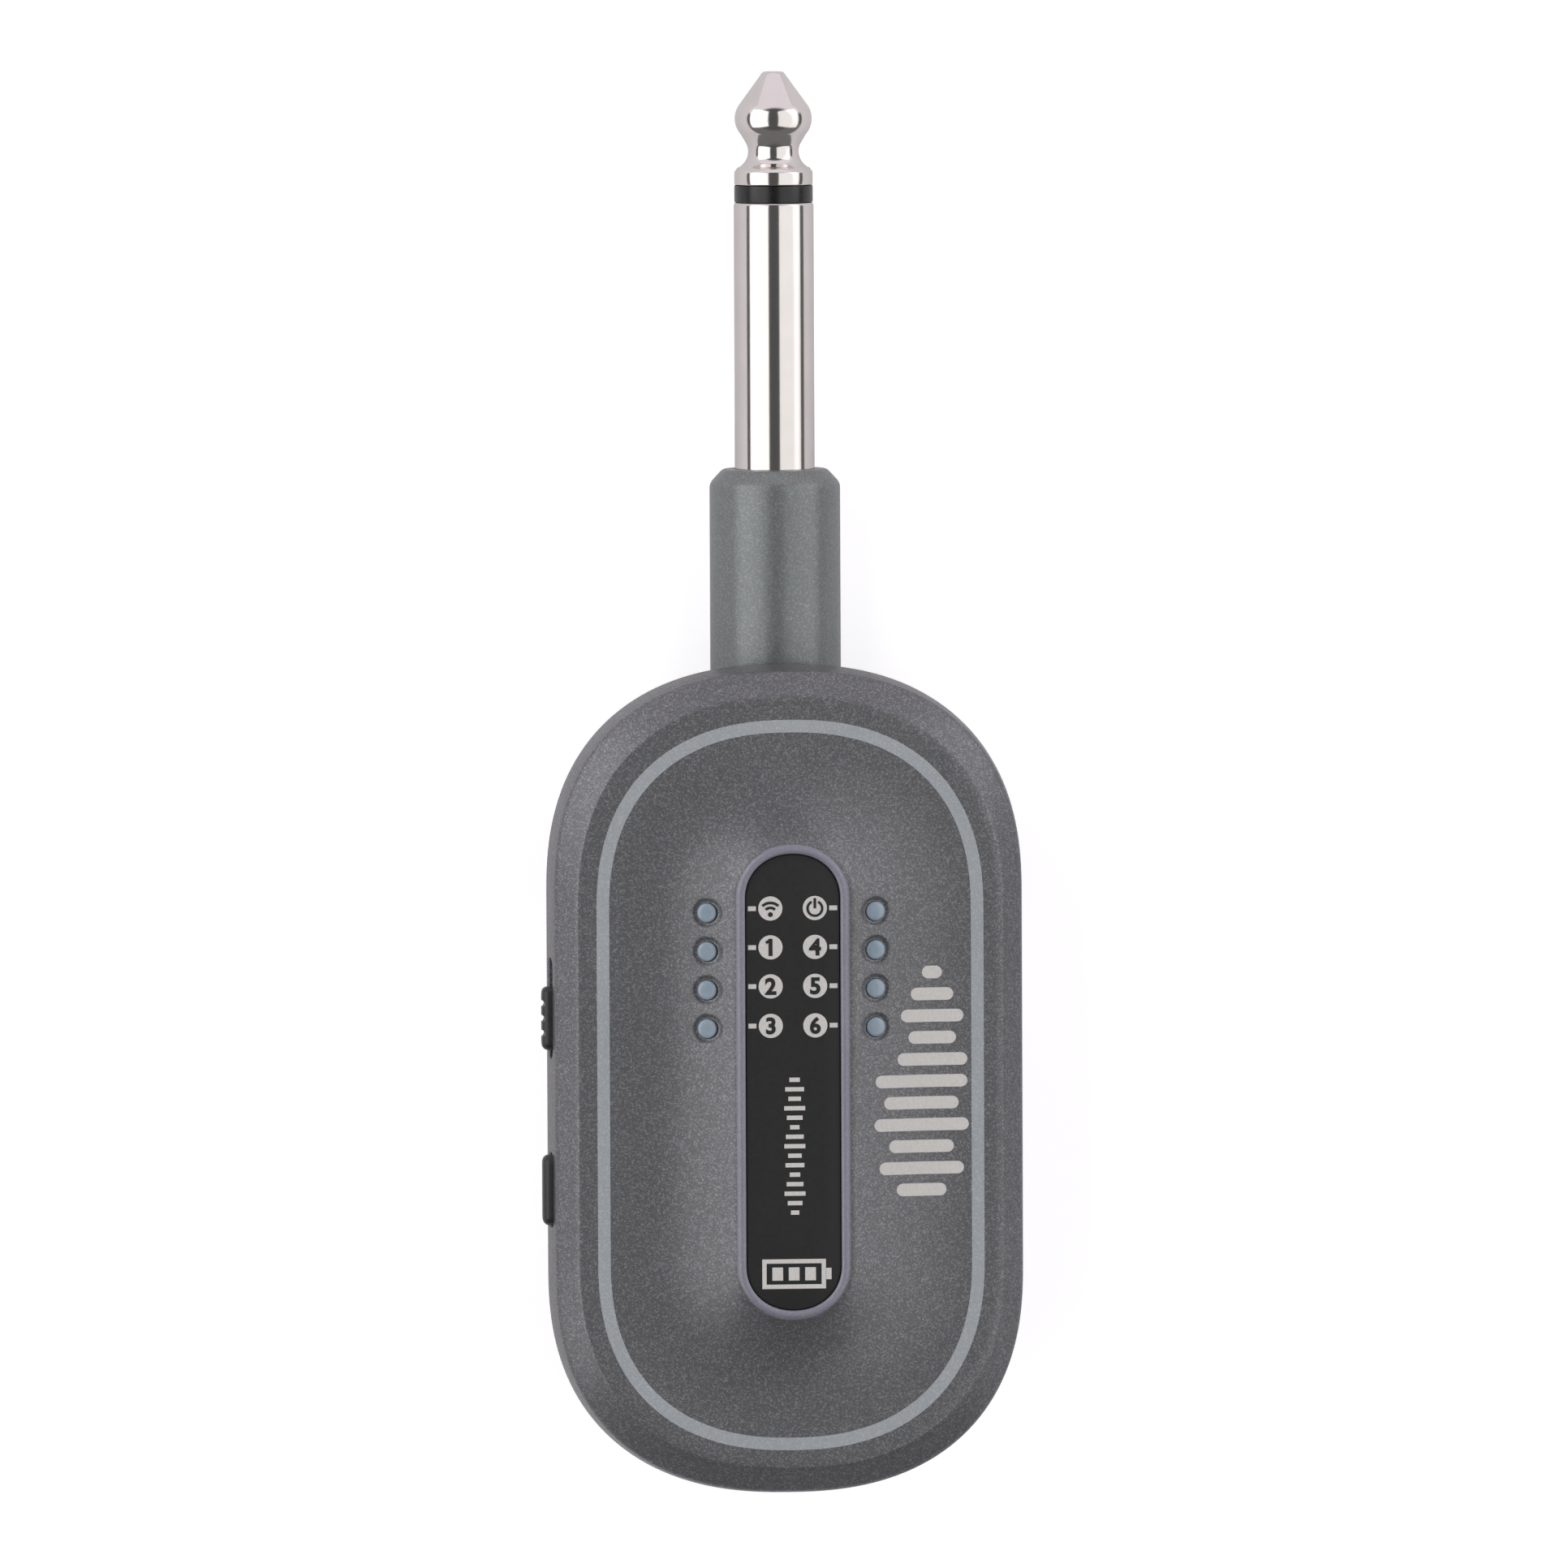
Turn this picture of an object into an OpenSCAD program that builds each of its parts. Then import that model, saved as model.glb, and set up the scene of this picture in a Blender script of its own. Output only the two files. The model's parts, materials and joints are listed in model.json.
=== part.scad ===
// Plug-in wireless guitar unit: an oval case with a swivelling 6.35 mm jack plug.
// The unit lies on its back: +Y runs along the plug to its tip, +Z points out of the front.
// The origin is on the flat back, at the middle of the oval case.

/* [Case] */
// Length of the oval case, along the plug
case_l = 65.6; // [65.2:0.1:66]
// Width of the oval case
case_w = 37.6; // [37.4:0.1:38]
// Length of each curved end of the oval
end_l = 18.0; // [17:0.5:18.5]
// Fullness of the curved ends: 2 is an ellipse, more is squarer
end_power = 2.4; // [2.2:0.05:2.5]
// Wall thickness of both case shells
wall = 1.5; // [1.4:0.05:1.5]
// Height of the joint line between the two shells
split_z = 11.9; // [11.9:0.1:12]
// Height of the front shell's side wall above the joint line
side_h = 5.0; // [5:0.1:5.4]
// Height of the crowned front above its rim, at the bezel
crown_h = 3.3; // [3.2:0.1:3.5]
// Width of the bevel round the front
bevel_w = 1.8; // [1.6:0.1:2]

/* [Label and lights] */
// Width of the label
label_w = 7.45; // [7:0.05:7.5]
// Length of the label
label_l = 36.0; // [35:0.5:36]
// Width of the raised bezel round the label
bezel_w = 0.77; // [0.6:0.01:1]
// Distance of each column of lights from the middle
light_x = 6.6; // [6.5:0.05:6.7]
// Height of the uppermost pair of lights along the case
light_top_y = 13.5; // [13.3:0.1:13.5]
// Spacing of the lights
light_pitch = 3.05; // [3:0.05:3.1]
// Radius of each light's lens
lens_r = 0.75; // [0.7:0.05:0.8]

/* [Plug] */
// Radius of the standard 6.35 mm plug
plug_r = 3.175; // [3.175]
// Length of the plug from its shoulder to its tip
plug_l = 31.5; // [31:0.1:31.8]
// Length of the bare metal sleeve
sleeve_l = 21.1; // [20.8:0.1:21.2]
// Width of the black insulating ring
ring_w = 1.4; // [1.2:0.1:1.5]
// Radius of the ring and of the tip's collar
collar_r = 3.12; // [3:0.01:3.15]
// Height of the plug's axis above the back
plug_z = 6.4; // [6.4]
// Radius of the sleeve where the end of the neck holds it
seat_r = 3.5; // [3.45:0.05:3.6]

/* [Swivel arm] */
// Radius of the arm's neck
neck_r = 5.18; // [5.1:0.01:5.2]
// Position of the plug's shoulder, at the end of the neck
shoulder_y = 48.0; // [47.8:0.1:48.2]
// Position of the swivel's axis
pivot_y = 21.0; // [21]
// Radius of the arm's round hub
hub_r = 7.5; // [7.4:0.1:7.6]
// Radius of the hollow pivot tube
pivot_r = 2.5; // [2.5:0.05:2.6]
// Clearance between the pivot tube and its bush
pivot_gap = 0.05; // [0.03:0.01:0.08]

/* [Controls] */
// Position of the power switch's knob along the case
knob_y = 5.1; // [5:0.1:5.2]
// Length of the knob
knob_l = 5.05; // [4.9:0.05:5.1]
// Travel of the power switch
knob_travel = 1.8; // [1.6:0.1:1.8]
// Position of the channel button along the case
button_y = -8.5; // [-8.7:0.1:-8.3]
// Length of the button
button_l = 5.6; // [5.4:0.1:5.8]
// Distance that the knob and the button stand proud of the case
proud = 0.6; // [0.5:0.05:0.7]

/* [Hidden] */
$fn = 64;

eps = 0.02;
far = 60;

// Heights of the front shell's levels
rim_z = split_z + side_h;
ridge_z = rim_z + 1.1;
crown_z = rim_z + crown_h;
bezel_z = crown_z + 0.25;
mid_rise = 0.7; // of the crown's middle row above the ridge
mid_share = 0.35; // how far in that row lies, from the ridge to the bezel
label_floor_z = bezel_z - 0.9;
label_top_z = bezel_z - 0.3;
ceiling_z = crown_z - 1.65;
lens_top_z = crown_z - 0.6;

// The shells' outer half width, and the rear shell's end wall beside the arm
half_w = case_w / 2;
half_l = case_l / 2;
step_y = 13.0;

// The board and what stands on it
board_z = 13.0;
board_t = 1.0;
board_top = board_z + board_t;
board_half_w = 16.1;
board_end_y = 15.8;

// Screw positions, on both sides of the middle
shell_screw_spots = [[12.6, -21.5], [10.4, 8.4]];
plate_screw_spots = [[11.0, 25.0]];
board_screw_spots = [[9.5, -13.0]];
screw_r = 0.9;
screw_head_r = 1.6;
screw_fit = 0.15; // clearance round a screw that passes through
boss_r = 2.1;
slim_boss_r = 1.7;
pillar_r = 2.5;
recess_w = 0.4; // width of a head's cross recess

// Side controls
control_z = 14.4;
control_h = 2.0;
button_h = control_h + 0.2;
guard_gap = 0.15;
slot_room = 1.1; // length of the knob's slot beyond the knob and its travel
slot_y = knob_y + knob_travel / 2 - 0.1;
lever_y = knob_y + knob_travel / 2;

// The USB-C socket on the right
usb_y = -2.0;
usb_w = 8.94;
usb_h = 3.16;
usb_z = board_z - usb_h / 2;
usb_mouth_x = half_w - 1.1;
usb_depth = 7.3;
usb_gap = 0.5; // how much larger the opening in the case is
usb_sheet = 0.6; // twice the thickness of the shell's sheet

label_y = 0.25;
label_end = label_w / 2 * 0.94;
lights = [for (i = [0:3]) light_top_y - i * light_pitch];
lens_gap = 0.04;
pin_foot = 0.9; // height of the light guides' pins above the board
comb_half_w = 1.0;
comb_end = 1.1;

// The swivel's levels above the back, and the hub's cavity
hub_low = 1.2;
hub_top = split_z - 0.3;
hub_cavity_r = 6.2;
tube_flange_z = 8.9;
tube_flange_t = 1.0;
tube_bore_r = 1.6;
clip_z = 15.5;
groove_depth = 0.4;
groove_w = 0.5;
washer_r = 4.2;
bush_r = 3.6;

// The inside of the plug: distances past the shoulder, and radii
seat_back = -1.6;
flange_back = -3.4;
shank_back = -9.5;
rod_back = -13.2;
tag_t = 0.4;
flange_r = 3.85;
shank_r = 3.0;
core_r = 1.75;
rod_r = 0.9;
neck_bore_r = 3.9;

// Wires
lead_r = 0.6;
lead_bend_r = 1.2;
lead_start_y = 14.6;
lead_top_z = 16.0;
battery_wire_r = 0.45;
plug_low_z = 10.4; // underside of the battery's connector
ground_wire_r = 0.3;

// Points of a long oval: straight flanks joined by two superelliptic ends
function oval(hw, hl, end, power, steps = 20) =
    let (quarter = [for (i = [0:steps]) let (t = 90 * i / steps)
        [hw * pow(cos(t), 2 / power), hl - end + end * pow(sin(t), 2 / power)]])
    concat(quarter,
        [for (i = [steps - 1:-1:0]) [-quarter[i][0], quarter[i][1]]],
        [for (p = quarter) [-p[0], -p[1]]],
        [for (i = [steps - 1:-1:0]) [quarter[i][0], -quarter[i][1]]]);
function case_oval(inset) = oval(half_w - inset, half_l - inset, end_l - inset, end_power);
function ridge_oval(inset) = oval(half_w - bevel_w - inset, half_l - bevel_w - 0.2 - inset,
    end_l - 1 - inset, end_power);
function label_oval(grow) = [for (p = oval(label_w / 2 + grow, label_l / 2 + grow,
    label_end + grow, 2.1)) p + [0, label_y]];
function blend(p, q, t) = [for (i = [0:len(p) - 1]) p[i] * (1 - t) + q[i] * t];
function arc(x, y, r, from, to, steps = 10) = [for (i = [0:steps])
    let (t = from + (to - from) * i / steps) [x + r * cos(t), y + r * sin(t)]];

// A flat slab between two heights
module slab(points, low, high) {
    translate([0, 0, low]) linear_extrude(high - low) polygon(points);
}

// The same shape on the left and on the right
module both_sides() {
    children();
    mirror([1, 0, 0]) children();
}

// A solid turned about the plug's axis, from [radius, distance past the shoulder] points
module turned(points) {
    translate([0, shoulder_y, plug_z]) rotate([-90, 0, 0]) rotate_extrude() polygon(points);
}

// A round bar on the plug's axis between two distances past the shoulder
module bar(from, to, r) {
    translate([0, shoulder_y + from, plug_z]) rotate([-90, 0, 0]) cylinder(h = to - from, r = r);
}

module tube(from, to, r, bore) {
    difference() {
        bar(from, to, r);
        bar(from - 1, to + 1, bore);
    }
}

// A quarter bend of wire in the plane of Y and Z
module wire_bend(x, y, z, bend_r, wire_r, start) {
    translate([x, y, z]) rotate([90, 0, 90]) rotate([0, 0, start])
        rotate_extrude(angle = 90) translate([bend_r, 0]) circle(wire_r);
}

module wire_up(x, y, low, high, wire_r) {
    translate([x, y, low]) cylinder(h = high - low, r = wire_r);
}

module wire_along(x, z, from, to, wire_r) {
    translate([x, from, z]) rotate([-90, 0, 0]) cylinder(h = to - from, r = wire_r);
}

// Lozenge with round ends, standing on a side wall: length along Y, height along Z
module side_pill(x0, x1, y, z, l, h) {
    translate([x0, y, z]) rotate([90, 0, 90]) linear_extrude(x1 - x0)
        offset(r = min(h, l) * 0.35, $fn = 32) square([l - h * 0.7, h * 0.3], center = true);
}

// Pan-head screw standing on its tip side up, with a cross recess in the head
module screw(head_z, tip_z, head_h = 1.3) {
    difference() {
        union() {
            translate([0, 0, head_z]) cylinder(h = head_h, r = screw_head_r);
            translate([0, 0, head_z]) cylinder(h = tip_z - head_z, r = screw_r);
        }
        for (a = [0, 90])
            rotate([0, 0, a]) translate([-0.95, -recess_w / 2, head_z - eps])
                cube([1.9, recess_w, 0.6]);
    }
}

module front_outside() {
    hull() {
        slab(case_oval(0), split_z, rim_z);
        slab(ridge_oval(0), ridge_z - eps, ridge_z);
        slab(blend(ridge_oval(0), label_oval(bezel_w), mid_share), ridge_z + mid_rise,
            ridge_z + mid_rise + eps);
        slab(label_oval(bezel_w), crown_z - eps, crown_z);
    }
}

module front_inside() {
    hull() {
        slab(case_oval(wall), split_z - 1, rim_z - 0.9);
        slab(ridge_oval(wall), ridge_z - 1.42, ridge_z - 1.4);
        slab(blend(ridge_oval(wall), label_oval(bezel_w), mid_share), ridge_z - mid_rise - eps,
            ridge_z - mid_rise);
        slab(label_oval(bezel_w), ceiling_z - eps, ceiling_z);
    }
}

module front_shell() {
    color([0.37, 0.37, 0.39]) difference() {
        union() {
            difference() {
                front_outside();
                front_inside();
            }
            slab(label_oval(bezel_w), ceiling_z - eps, bezel_z);
            both_sides() {
                for (p = shell_screw_spots)
                    translate([p[0], p[1], split_z]) cylinder(h = 5.2, r = boss_r);
                for (p = plate_screw_spots)
                    translate([p[0], p[1], split_z + 1.0]) cylinder(h = 4.4, r = boss_r);
                for (p = board_screw_spots)
                    translate([p[0], p[1], board_top]) cylinder(h = 4.2, r = slim_boss_r);
            }
        }
        slab(label_oval(0.05), label_floor_z, far);
        both_sides() {
            for (y = lights) {
                translate([light_x, y, board_top]) cylinder(h = far, r = lens_r + lens_gap);
                translate([light_x, y, crown_z - 0.62]) cylinder(h = 0.6, r1 = 0.8, r2 = 1.3);
            }
            for (p = shell_screw_spots)
                translate([p[0], p[1], split_z - 1]) cylinder(h = 5.4, r = screw_r);
            for (p = plate_screw_spots)
                translate([p[0], p[1], split_z - 1]) cylinder(h = 4.6, r = screw_r);
            for (p = board_screw_spots)
                translate([p[0], p[1], board_top - 1]) cylinder(h = 3.2, r = screw_r);
        }
        side_pill(-far, -half_w + 3, slot_y, control_z, knob_l + knob_travel + slot_room,
            control_h + 2 * guard_gap);
        side_pill(-far, -half_w + 3, button_y, control_z,
            button_l + 2 * guard_gap, button_h + 2 * guard_gap);
        side_pill(half_w - 3, far, usb_y, usb_z, usb_w + usb_gap, usb_h + usb_gap);
    }
}

module rear_outside() {
    hull() {
        slab(case_oval(0.3), split_z, split_z + 1);
        slab(case_oval(0.9), 4.0, 4.02);
        slab(case_oval(2.1), 1.2, 1.22);
        slab(case_oval(4.6), -0.5, -0.48);
    }
}

module rear_inside() {
    hull() {
        slab(case_oval(0.3 + wall), split_z, split_z + 1);
        slab(case_oval(0.9 + wall), 4.5, 4.52);
        slab(case_oval(2.3 + wall), wall, wall + eps);
    }
}

// Everything behind the joint line and below the arm's sweep, in from the end wall
module behind_split(inset) {
    translate([-far, -far, inset]) cube([2 * far, far + step_y - inset, split_z - inset]);
}

module rear_shell() {
    color([0.35, 0.35, 0.37]) difference() {
        union() {
            difference() {
                intersection() {
                    rear_outside();
                    behind_split(0);
                }
                intersection() {
                    rear_inside();
                    translate([-far, -far, 0]) cube([2 * far, far + step_y - wall, far]);
                }
            }
            both_sides() for (p = shell_screw_spots)
                translate([p[0], p[1], 1.3]) cylinder(h = split_z - 1.3, r = pillar_r);
        }
        both_sides() for (p = shell_screw_spots) {
            translate([p[0], p[1], -1]) cylinder(h = 6, r = screw_head_r + screw_fit);
            translate([p[0], p[1], 0]) cylinder(h = far, r = screw_r + screw_fit);
        }
        side_pill(half_w - 4, far, usb_y, usb_z, usb_w + usb_gap, usb_h + usb_gap);
        translate([-9.2, -22.7, -1]) cube([18.4, 15.4, 1.2]);
    }
}

// Steel plate that closes the upper back of the front shell and carries the swivel
module pivot_plate() {
    color([0.30, 0.31, 0.32]) difference() {
        union() {
            intersection() {
                slab(case_oval(wall + 0.05), split_z, split_z + 1.0);
                translate([-far, step_y - 1.4, 0]) cube([2 * far, far, far]);
            }
            translate([0, pivot_y, split_z]) cylinder(h = 2.6, r = 5.0);
        }
        translate([0, pivot_y, split_z - 1]) cylinder(h = 5, r = bush_r);
        both_sides() for (p = plate_screw_spots)
            translate([p[0], p[1], split_z - eps]) cylinder(h = 1.0 + 2 * eps,
                r1 = screw_head_r + 0.05, r2 = screw_r + 0.05);
    }
}

// Flanged bearing bush, pressed into the plate
module pivot_bush() {
    color([0.72, 0.58, 0.32]) translate([0, pivot_y, 0]) difference() {
        union() {
            translate([0, 0, split_z]) cylinder(h = 3.2, r = bush_r);
            translate([0, 0, split_z + 2.6]) cylinder(h = 0.6, r = 4.6);
        }
        translate([0, 0, split_z - 1]) cylinder(h = 6, r = pivot_r + pivot_gap);
    }
}

module label_plate() {
    color([0.13, 0.13, 0.14]) slab(label_oval(0), label_floor_z, label_top_z);
}

// Clear comb with one pin for each light
module light_guide() {
    for (y = lights)
        translate([light_x, y, board_top + pin_foot])
            cylinder(h = lens_top_z - board_top - pin_foot, r = lens_r);
    translate([light_x - comb_half_w, lights[3] - comb_end, board_top + 1.3])
        cube([2 * comb_half_w, light_top_y - lights[3] + 2 * comb_end, 0.9]);
}

module light_guide_left() {
    color([0.50, 0.58, 0.64]) mirror([1, 0, 0]) light_guide();
}

module light_guide_right() {
    color([0.50, 0.58, 0.64]) light_guide();
}

module main_board() {
    color([0.05, 0.32, 0.18]) difference() {
        intersection() {
            slab(oval(board_half_w, half_l - 2.7, end_l - 2.7, end_power), board_z, board_top);
            translate([-far, -far, 0]) cube([2 * far, far + board_end_y, far]);
        }
        both_sides() {
            for (p = shell_screw_spots)
                translate([p[0], p[1], board_z - 1]) cylinder(h = 3, r = 2.3);
            for (p = board_screw_spots)
                translate([p[0], p[1], board_z - 1]) cylinder(h = 3, r = screw_r + 0.1);
        }
    }
}

module indicator_leds() {
    color([0.92, 0.92, 0.85]) both_sides() for (y = lights)
        translate([light_x - 0.8, y - 0.4, board_top]) cube([1.6, 0.8, 0.7]);
}

// Folded tin can over the radio chips
module radio_shield() {
    color([0.75, 0.76, 0.78]) difference() {
        translate([-7, -27.5, board_top]) cube([14, 12, 2.2]);
        translate([-6.8, -27.3, board_top - 1]) cube([13.6, 11.6, 3.0]);
    }
}

module chip_antenna() {
    color([0.90, 0.88, 0.80]) translate([-2.5, -29.9, board_top]) cube([5, 1.8, 1.0]);
}

module processor_chip() {
    color([0.09, 0.09, 0.10]) translate([-3.5, -6, board_top]) cube([7, 7, 0.9]);
}

module audio_chip() {
    color([0.09, 0.09, 0.10]) translate([-2.5, 5, board_top]) cube([5, 5, 0.9]);
}

module timing_crystal() {
    color([0.78, 0.78, 0.76]) translate([5.4, -6.5, board_top]) cube([3.2, 2.5, 0.7]);
}

// Resistors and capacitors in two rows
module small_components() {
    color([0.62, 0.52, 0.38]) for (i = [0:4]) {
        translate([-8.4 + i * 3.8, -10.6, board_top]) cube([1.6, 0.8, 0.55]);
        translate([-8.4 + i * 3.8, 2.2, board_top]) cube([1.6, 0.8, 0.55]);
    }
}

module slide_switch_case() {
    lever_room = 1.4 + knob_travel + 0.4;
    color([0.70, 0.71, 0.72]) difference() {
        translate([-15.6, lever_y - 3.8, board_top]) cube([2.9, 7.6, 1.6]);
        translate([-16, lever_y - lever_room / 2, board_top + 0.3])
            cube([1.3, lever_room, 1.0]);
    }
}

module tact_switch_case() {
    color([0.72, 0.72, 0.74]) difference() {
        translate([-15.9, button_y - 2.25, board_top]) cube([3.2, 4.5, 1.8]);
        translate([-16.5, button_y, board_top + 0.9]) rotate([0, 90, 0]) cylinder(h = 2, r = 0.66);
    }
}

// Stamped metal shell of the USB-C socket
module usb_shell() {
    color([0.80, 0.81, 0.82]) difference() {
        side_pill(usb_mouth_x - usb_depth, usb_mouth_x, usb_y, usb_z, usb_w, usb_h);
        side_pill(usb_mouth_x - usb_depth + usb_sheet, far, usb_y, usb_z, usb_w - usb_sheet,
            usb_h - usb_sheet);
    }
}

// Black tongue and back block inside the socket
module usb_base() {
    color([0.08, 0.08, 0.09]) {
        side_pill(usb_mouth_x - usb_depth + 0.6, usb_mouth_x - usb_depth + 2, usb_y, usb_z,
            usb_w - 0.7, usb_h - 0.7);
        translate([usb_mouth_x - usb_depth + 1.8, usb_y - 3.35, usb_z - 0.35])
            cube([usb_depth - 2.3, 6.7, 0.7]);
    }
}

// Flat lithium pouch cell
module battery_cell() {
    color([0.72, 0.73, 0.76]) translate([0, -11, 2.0]) linear_extrude(6.0)
        offset(r = 1.2, $fn = 32) square([17.1, 30.6], center = true);
}

module battery_pad() {
    color([0.12, 0.12, 0.12]) translate([-8, -25, wall]) cube([16, 28, 0.5]);
}

module battery_wire(x) {
    wire_along(x, 5.0, 5.5, 7.0, battery_wire_r);
    wire_bend(x, 7.0, 6.0, 1.0, battery_wire_r, 270);
    wire_up(x, 8.0, 6.0, plug_low_z, battery_wire_r);
}

module battery_wire_red() {
    color([0.75, 0.08, 0.06]) battery_wire(-4.0);
}

module battery_wire_black() {
    color([0.07, 0.07, 0.07]) battery_wire(-2.0);
}

module battery_connector() {
    color([0.90, 0.88, 0.82]) translate([-5.2, 6.4, plug_low_z]) cube([4.4, 3.2, board_z - plug_low_z]);
}

module shell_screws() {
    color([0.20, 0.20, 0.21]) both_sides() for (p = shell_screw_spots)
        translate([p[0], p[1], 0]) screw(3.7, split_z + 4.0);
}

// Countersunk screws, flush with the plate
module plate_screws() {
    color([0.55, 0.56, 0.58]) both_sides() for (p = plate_screw_spots)
        translate([p[0], p[1], split_z]) difference() {
            union() {
                cylinder(h = 1.0, r1 = screw_head_r, r2 = screw_r);
                cylinder(h = 3.4, r = screw_r);
            }
            for (a = [0, 90])
                rotate([0, 0, a]) translate([-0.85, -0.18, -eps]) cube([1.7, 0.36, 0.5]);
        }
}

module board_screws() {
    color([0.60, 0.61, 0.63]) both_sides() for (p = board_screw_spots)
        translate([p[0], p[1], 0]) screw(board_z - 0.9, board_top + 2.0, 0.9);
}

module rear_label() {
    color([0.78, 0.78, 0.79]) translate([-9, -22.5, 0.06]) cube([18, 15, 0.14]);
}

// Two-core lead from the board, over the pivot tube and down its bore
module board_lead() {
    color([0.12, 0.12, 0.13]) {
        wire_up(0, lead_start_y, board_top, lead_top_z, lead_r);
        wire_bend(0, lead_start_y + lead_bend_r, lead_top_z, lead_bend_r, lead_r, 90);
        wire_along(0, lead_top_z + lead_bend_r, lead_start_y + lead_bend_r,
            pivot_y - lead_bend_r, lead_r);
        wire_bend(0, pivot_y - lead_bend_r, lead_top_z, lead_bend_r, lead_r, 0);
        wire_up(0, pivot_y, 13.4, lead_top_z, lead_r);
    }
}

// Moulded neck and hub of the swivel arm
module arm_housing() {
    color([0.36, 0.38, 0.38]) difference() {
        union() {
            translate([0, pivot_y, 0]) rotate_extrude() polygon([[0, hub_low], [hub_r - 0.8, hub_low],
                [hub_r, hub_low + 0.8], [hub_r, hub_top - 0.8], [hub_r - 0.8, hub_top], [0, hub_top]]);
            turned([[0, pivot_y - shoulder_y], [neck_r, pivot_y - shoulder_y], [neck_r, -1.05],
                [neck_r - 1.0, 0], [0, 0]]);
        }
        translate([0, pivot_y, 0]) cylinder(h = tube_flange_z + tube_flange_t, r = hub_cavity_r);
        translate([0, pivot_y, 5]) cylinder(h = 10, r = pivot_r);
        bar(pivot_y - shoulder_y, seat_back, neck_bore_r);
        bar(-2, 1, seat_r);
    }
}

// Snap-in cover on the back of the hub
module arm_cap() {
    color([0.33, 0.34, 0.35]) translate([0, pivot_y, 0]) rotate_extrude()
        polygon([[0, hub_low], [hub_cavity_r - 0.5, hub_low], [hub_cavity_r - 0.1, hub_low + 0.3],
            [hub_cavity_r - 0.1, hub_low + 1], [0, hub_low + 1]]);
}

// Hollow flanged tube that joins the arm to the case
module pivot_tube() {
    color([0.74, 0.62, 0.38]) translate([0, pivot_y, 0]) difference() {
        union() {
            translate([0, 0, tube_flange_z]) cylinder(h = tube_flange_t, r = washer_r);
            translate([0, 0, tube_flange_z]) cylinder(h = 16.3 - tube_flange_z, r = pivot_r);
        }
        translate([0, 0, 8]) cylinder(h = 10, r = tube_bore_r);
        translate([0, 0, clip_z]) difference() {
            cylinder(h = groove_w, r = pivot_r + 1);
            translate([0, 0, -1]) cylinder(h = 3, r = pivot_r - groove_depth);
        }
    }
}

// Retaining clip in the tube's groove
module pivot_clip() {
    color([0.45, 0.46, 0.48]) translate([0, pivot_y, clip_z + eps]) difference() {
        cylinder(h = groove_w - 2 * eps, r = bush_r);
        translate([0, 0, -1]) cylinder(h = 3, r = pivot_r - groove_depth);
        rotate([0, 0, -90]) translate([0, -0.8, -1]) cube([5, 1.6, 3]);
    }
}

module washer(low, high, r, bore) {
    translate([0, pivot_y, low]) difference() {
        cylinder(h = high - low, r = r);
        translate([0, 0, -1]) cylinder(h = 3, r = bore);
    }
}

// Spring washer that presses the arm against the friction washer
module wave_washer() {
    color([0.60, 0.61, 0.62]) washer(split_z + 3.25, clip_z, washer_r, pivot_r);
}

// Nylon washer between the hub and the plate
module friction_washer() {
    color([0.85, 0.84, 0.78]) washer(hub_top, split_z - 0.03, 6.4, pivot_r);
}

// Plug body: the sleeve contact, its seat in the neck, its inner flange and its threaded shank
module plug_sleeve() {
    color([0.78, 0.77, 0.75]) turned([[core_r, shank_back], [shank_r, shank_back],
        [shank_r, flange_back], [flange_r, flange_back], [flange_r, seat_back], [seat_r, seat_back],
        [seat_r, 0], [plug_r, 0], [plug_r, sleeve_l - 0.15], [plug_r - 0.15, sleeve_l],
        [core_r, sleeve_l]]);
}

// Ring nut that holds the plug in the neck
module plug_retainer() {
    color([0.66, 0.66, 0.65]) tube(flange_back - 3, flange_back, flange_r, shank_r);
}

// Plastic tube between the rod and the sleeve
module core_insulator() {
    color([0.10, 0.10, 0.11]) tube(shank_back - 0.8, sleeve_l, core_r, rod_r);
}

module tip_insulator() {
    color([0.06, 0.06, 0.07]) tube(sleeve_l, sleeve_l + ring_w, collar_r, rod_r);
}

// Turned tip contact: collar, waist, ball and cone
module plug_tip() {
    collar_y = sleeve_l + ring_w;
    waist_y = plug_l - 6.35;
    ball_y = plug_l - 3.75;
    waist = arc(3.42, waist_y, 1.4, 248, 157);
    ball = arc(1.17, ball_y, 1.9, -41, 35);
    color([0.80, 0.78, 0.77]) turned(concat(
        [[0, collar_y + 3], [rod_r, collar_y + 3], [rod_r, collar_y], [collar_r - 0.1, collar_y],
        [collar_r, collar_y + 0.1], [collar_r, collar_y + 1.05], [collar_r - 0.12, collar_y + 1.2]],
        waist, ball, [[0.95, plug_l - 0.15], [0.8, plug_l], [0, plug_l]]));
}

// Rod that carries the signal from the tip, through the insulator
module tip_rod() {
    color([0.72, 0.60, 0.36]) bar(rod_back, sleeve_l + ring_w + 3, rod_r);
}

// Solder tag against the back of the shank
module ground_lug() {
    color([0.80, 0.78, 0.72]) tube(shank_back - tag_t, shank_back, 3.5, core_r + 0.05);
}

module tip_lug() {
    color([0.80, 0.78, 0.72]) tube(-12.0, -11.5, 1.65, rod_r);
}

// Two-core lead from the plug's rod to the pivot tube's bore
module arm_lead() {
    sweep_r = 2.0;
    color([0.12, 0.12, 0.13]) {
        wire_up(0, pivot_y, plug_z + sweep_r, 13.0, lead_r);
        wire_bend(0, pivot_y + sweep_r, plug_z + sweep_r, sweep_r, lead_r, 180);
        wire_along(0, plug_z, pivot_y + sweep_r, shoulder_y + rod_back, lead_r);
    }
}

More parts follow.
